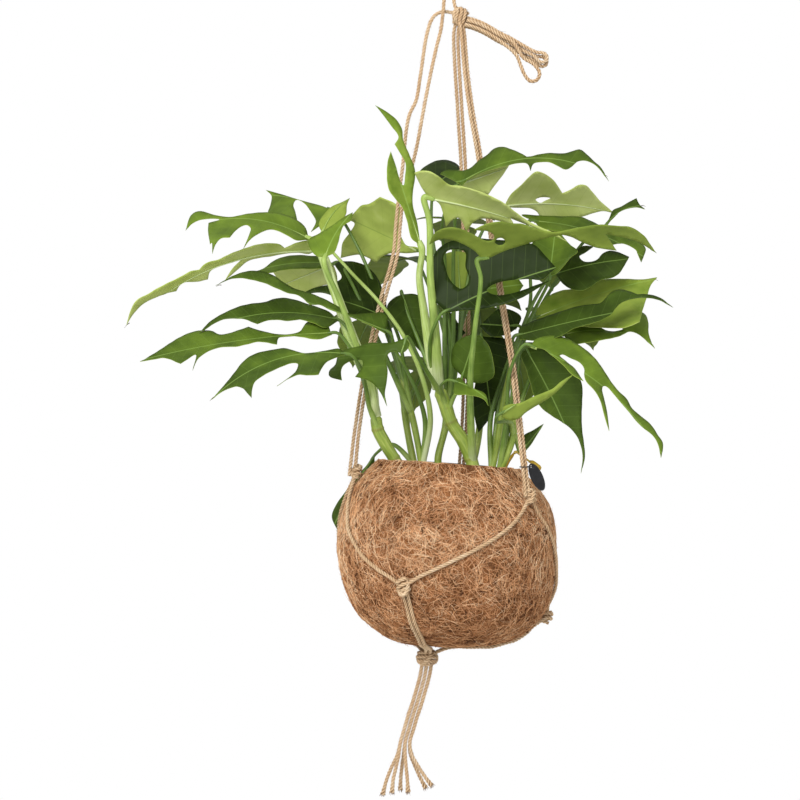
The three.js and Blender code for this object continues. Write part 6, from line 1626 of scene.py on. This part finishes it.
# A stalk or stem: smooth fleshy tissue with fine ribs, grown lengthwise, so streaks of a noise that is
# stretched along it. The stems have brown scars and specks.
streaks = {"around": 2.2, "along": 0.03, "scale": 1.6, "detail": 3, "share": 0.4,
           "depth": 0.25, "strength": 0.6}
scars = {"colour": "#76582f", "joint": 0.4, "speck": 0.5, "speckSize": 2.2, "speckEdge": (6, -3.6)}
stalkShader = {"Roughness": 0.45, "Specular IOR Level": 0.45}
stalkLooks = {
    "petioleSkin": {
        "shader": stalkShader, "tone": (0.8, -0.25), "patches": [(18, 2, 0.3)],
        "stops": [(0.2, "#2c4214"), (0.45, "#5f7c2b"), (0.7, "#9db45a"), (0.95, "#cfdaa4")],
    },
    "stemSkin": {
        "shader": stalkShader, "patches": [(18, 2, 0.3)], "scarred": True,
        "stops": [(0.15, "#587426"), (0.35, "#8fa440"), (0.55, "#c4ca72")],
    },
    "dryThread": {
        "shader": stalkShader, "tone": (0.8, -0.25), "patches": [(18, 2, 0.3)],
        "stops": [(0.3, "#4d4236"), (0.7, "#8d7f6a")],
    },
}


def stalkMaterial(name):
    look = stalkLooks[name]
    material, tree, shader, level, colour = newMaterial(name, look)
    tone, along, across = (
        addNode(tree, "Attribute", {"attribute_name": label}).outputs["Fac"] for label in markNames
    )
    around = addNode(tree, "Math", {"operation": "MULTIPLY", 1: streaks["around"]}, {0: across})
    onwards = addNode(tree, "Math", {"operation": "MULTIPLY", 1: streaks["along"]}, {0: along})
    stretched = addNode(tree, "CombineXYZ", links={"X": around, "Y": onwards})
    values = {"Scale": streaks["scale"], "Detail": streaks["detail"]}
    streak = addNode(tree, "TexNoise", values, {"Vector": stretched})
    level = addNode(tree, "Math", {"operation": "MULTIPLY_ADD", 1: streaks["share"]}, {0: streak, 2: level})
    tree.links.new(level.outputs[0], colour.inputs["Fac"])
    if look.get("scarred"):
        place = addNode(tree, "TexCoord").outputs["Object"]
        specks = addNode(tree, "TexNoise", patches(scars["speckSize"], 3), {"Vector": place})
        share, start = scars["speckEdge"]
        near = {"operation": "MULTIPLY_ADD", 1: share, 2: start, "use_clamp": True}
        speck = addNode(tree, "Math", near, {0: specks})
        speck = addNode(tree, "Math", {"operation": "MULTIPLY", 1: scars["speck"]}, {0: speck})
        joint = addNode(tree, "Math", {"operation": "MULTIPLY", 1: scars["joint"]}, {0: tone})
        amount = addNode(tree, "Math", {"operation": "MAXIMUM"}, {0: joint, 1: speck})
        brown = {"data_type": "RGBA", 7: linearColour(scars["colour"])}
        colour = addNode(tree, "Mix", brown, {0: amount, 6: colour})
        tree.links.new(colour.outputs[2], shader.inputs["Base Color"])
    values = {"Distance": streaks["depth"] * mm, "Strength": streaks["strength"]}
    tree.links.new(addNode(tree, "Bump", values, {"Height": streak}).outputs[0], shader.inputs["Normal"])
    return material


leafUpper, leafUnder, yellowed = (leafMaterial(name) for name in leafLooks)
petioleSkin, stemSkin, dryThread = (stalkMaterial(name) for name in stalkLooks)
greens = [leafUpper, leafUnder, petioleSkin, stemSkin, dryThread]
faded = [yellowed, yellowed, yellowed, yellowed, dryThread]
for i, (name, stem) in enumerate(stems.items()):
    leafyStem(name, stem, faded if name == "witheredLeaf" else greens, 300 + i)
print("leaves ready")

# The plant label: a bare oval plate with shallow ribs, on a ring round the right pair of cords
label = {"half": (6.8, 14.5), "thick": 1.0, "hole": 1.2, "holeFromEnd": 2.7, "height": -427, "ribs": 9,
         "ribDepth": 0.18, "hang": (0.6, -0.8), "rings": 14, "sides": 72, "rounded": 6}
tie = {"half": (6.5, 3.3), "shift": 1.9, "radius": 0.5, "points": 48, "sides": 8}


def labelFrame():
    across, up = unit(rightPairAcross), np.array([0, 0, 1.0])
    out = np.cross(up, across)
    found = []
    for route in pairOf(legRight, rightPairAcross):
        dense = spanPoints(route, 40)
        found.append(dense[np.argmin(np.abs(dense[:, 2] - label["height"]))])
    return across, up, out, (found[0] + found[1]) / 2 + across * tie["shift"]


labelAcross, labelUp, labelOut, labelMiddle = labelFrame()


def tieRing():
    turn = 2 * np.pi * np.arange(tie["points"]) / tie["points"]
    corner = 2 * np.pi * np.arange(tie["sides"]) / tie["sides"]
    ring = labelMiddle + labelAcross * (np.cos(turn) * tie["half"][0])[:, None]
    ring = ring + labelOut * (np.sin(turn) * tie["half"][1])[:, None]
    ahead = unit(np.roll(ring, -1, 0) - np.roll(ring, 1, 0))
    beside = np.cross(ahead, labelUp)[:, None]
    places = ring[:, None] + tie["radius"] * (
        beside * np.cos(corner)[None, :, None] + labelUp * np.sin(corner)[None, :, None])
    index = np.arange(places.shape[0] * places.shape[1]).reshape(places.shape[:2])
    after = np.roll(index, -1, 0)
    quads = np.stack([index, after, np.roll(after, -1, 1), np.roll(index, -1, 1)], axis=-1)
    part = newPart()
    addMesh(part, places, [quads.reshape(-1, 4)])
    return part


# Nylon: extruded, black, with a soft shine
nylonLook = {
    "shader": {"Roughness": 0.4}, "patches": [(2, 3, 1)], "stops": [(0.3, "#161617"), (0.8, "#2a2a2d")],
}
nylon = newMaterial("nylonTie", nylonLook)[0]
tidyPoles(makePiece("labelTie", tieRing(), [nylon], ["label_tie"]))


def labelPlate():
    half, thick = label["half"], label["thick"] / 2
    rings, sides = label["rings"], label["sides"]
    long = labelAcross * label["hang"][0] + labelUp * label["hang"][1]
    wide = np.cross(labelOut, long)
    fromMiddle = half[1] - label["holeFromEnd"]
    hang = labelMiddle + labelAcross * tie["half"][0]
    turn = 2 * np.pi * np.arange(sides) / sides
    oval = np.stack([np.cos(turn) * half[0], np.sin(turn) * half[1]], axis=1)
    hole = np.stack([np.cos(turn), np.sin(turn)], axis=1) * label["hole"] + (0, fromMiddle)
    flat = np.array([hole + (oval - hole) * share for share in np.linspace(0, 1, rings)])
    inwards = 1 - np.hypot(flat[..., 0] / half[0], flat[..., 1] / half[1])
    edge = np.clip(inwards * label["rounded"], 0, 1)
    ribs = label["ribDepth"] * np.cos(2 * np.pi * label["ribs"] * flat[..., 0] / (2 * half[0])) * edge
    back = -thick * (0.6 + 0.4 * edge)
    front = ribs * 0.5 - label["ribDepth"] / 2 - back

    def placed(height):
        down = flat[..., 1:] - fromMiddle
        return hang + wide * flat[..., :1] - long * down + labelOut * height[..., None]
    points = np.concatenate([placed(front), placed(back)[::-1]])
    index = np.arange(2 * rings * sides).reshape(-1, sides)
    part = newPart()
    addMesh(part, points, [gridQuads(np.vstack([index, index[:1]]))])
    return part


# Polystyrene: moulded in a polished tool, so it is black and glossy
polystyreneLook = {
    "shader": {"Roughness": 0.18}, "patches": [(4, 3, 1)], "stops": [(0.3, "#0e0e10"), (0.8, "#232327")],
}
polystyrene = newMaterial("glossyPolystyrene", polystyreneLook)[0]
tidyPoles(makePiece("plantLabel", labelPlate(), [polystyrene], ["plant_label"]))
print("label ready")

# Floor and light: a pale floor well below the hanging pot, bright surroundings and two soft lamps
studio = {"floorHeight": -1.25, "floorRadius": 2.4, "floorSides": 96, "floor": "#f4f4f2",
          "surroundings": "#ffffff", "brightness": 0.5, "backdrop": 1.0}
floorMesh = bpy.data.meshes.new("floor")
turn = 2 * np.pi * np.arange(studio["floorSides"]) / studio["floorSides"]
rim = np.stack([np.cos(turn), np.sin(turn), turn * 0], axis=1) * studio["floorRadius"]
rim[:, 2] = studio["floorHeight"]
floorMesh.from_pydata(rim.tolist(), [], [list(range(studio["floorSides"]))])
floorPiece = bpy.data.objects.new("floor", floorMesh)
scene.collection.objects.link(floorPiece)
# Matt emulsion paint, rolled on, so the floor is even and has no shine
paintLook = {"shader": {"Base Color": linearColour(studio["floor"]), "Roughness": 0.9}}
floorMesh.materials.append(newMaterial("paintedFloor", paintLook)[0])
floorPiece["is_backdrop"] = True

world = bpy.data.worlds.new("studio")
world.use_nodes = True
tree = world.node_tree
background = tree.nodes["Background"]
background.inputs["Color"].default_value = linearColour(studio["surroundings"])
# the backdrop itself is lit brighter than what it gives to the plant
onBackdrop = addNode(tree, "LightPath").outputs["Is Camera Ray"]
values = {"operation": "MULTIPLY_ADD", 1: studio["backdrop"] - studio["brightness"], 2: studio["brightness"]}
strength = addNode(tree, "Math", values, {0: onBackdrop})
tree.links.new(strength.outputs[0], background.inputs["Strength"])
scene.world = world

lamps = {
    "key": {"place": (-0.8, -1.7, 0.5), "aim": (0, 0, -0.35), "size": 1.3, "power": 46},
    "fill": {"place": (1.5, -1.3, 0.2), "aim": (0, 0, -0.35), "size": 1.2, "power": 10},
}
for name, lamp in lamps.items():
    data = bpy.data.lights.new(name, "AREA")
    data.size, data.energy = lamp["size"], lamp["power"]
    lampObject = bpy.data.objects.new(name, data)
    lampObject.location = lamp["place"]
    way = Vector(lamp["aim"]) - Vector(lamp["place"])
    lampObject.rotation_euler = way.to_track_quat("-Z", "Y").to_euler()
    scene.collection.objects.link(lampObject)

triangles = sum(len(p.vertices) - 2 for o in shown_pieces() if o.type == "MESH" for p in o.data.polygons)
print("triangles", triangles)
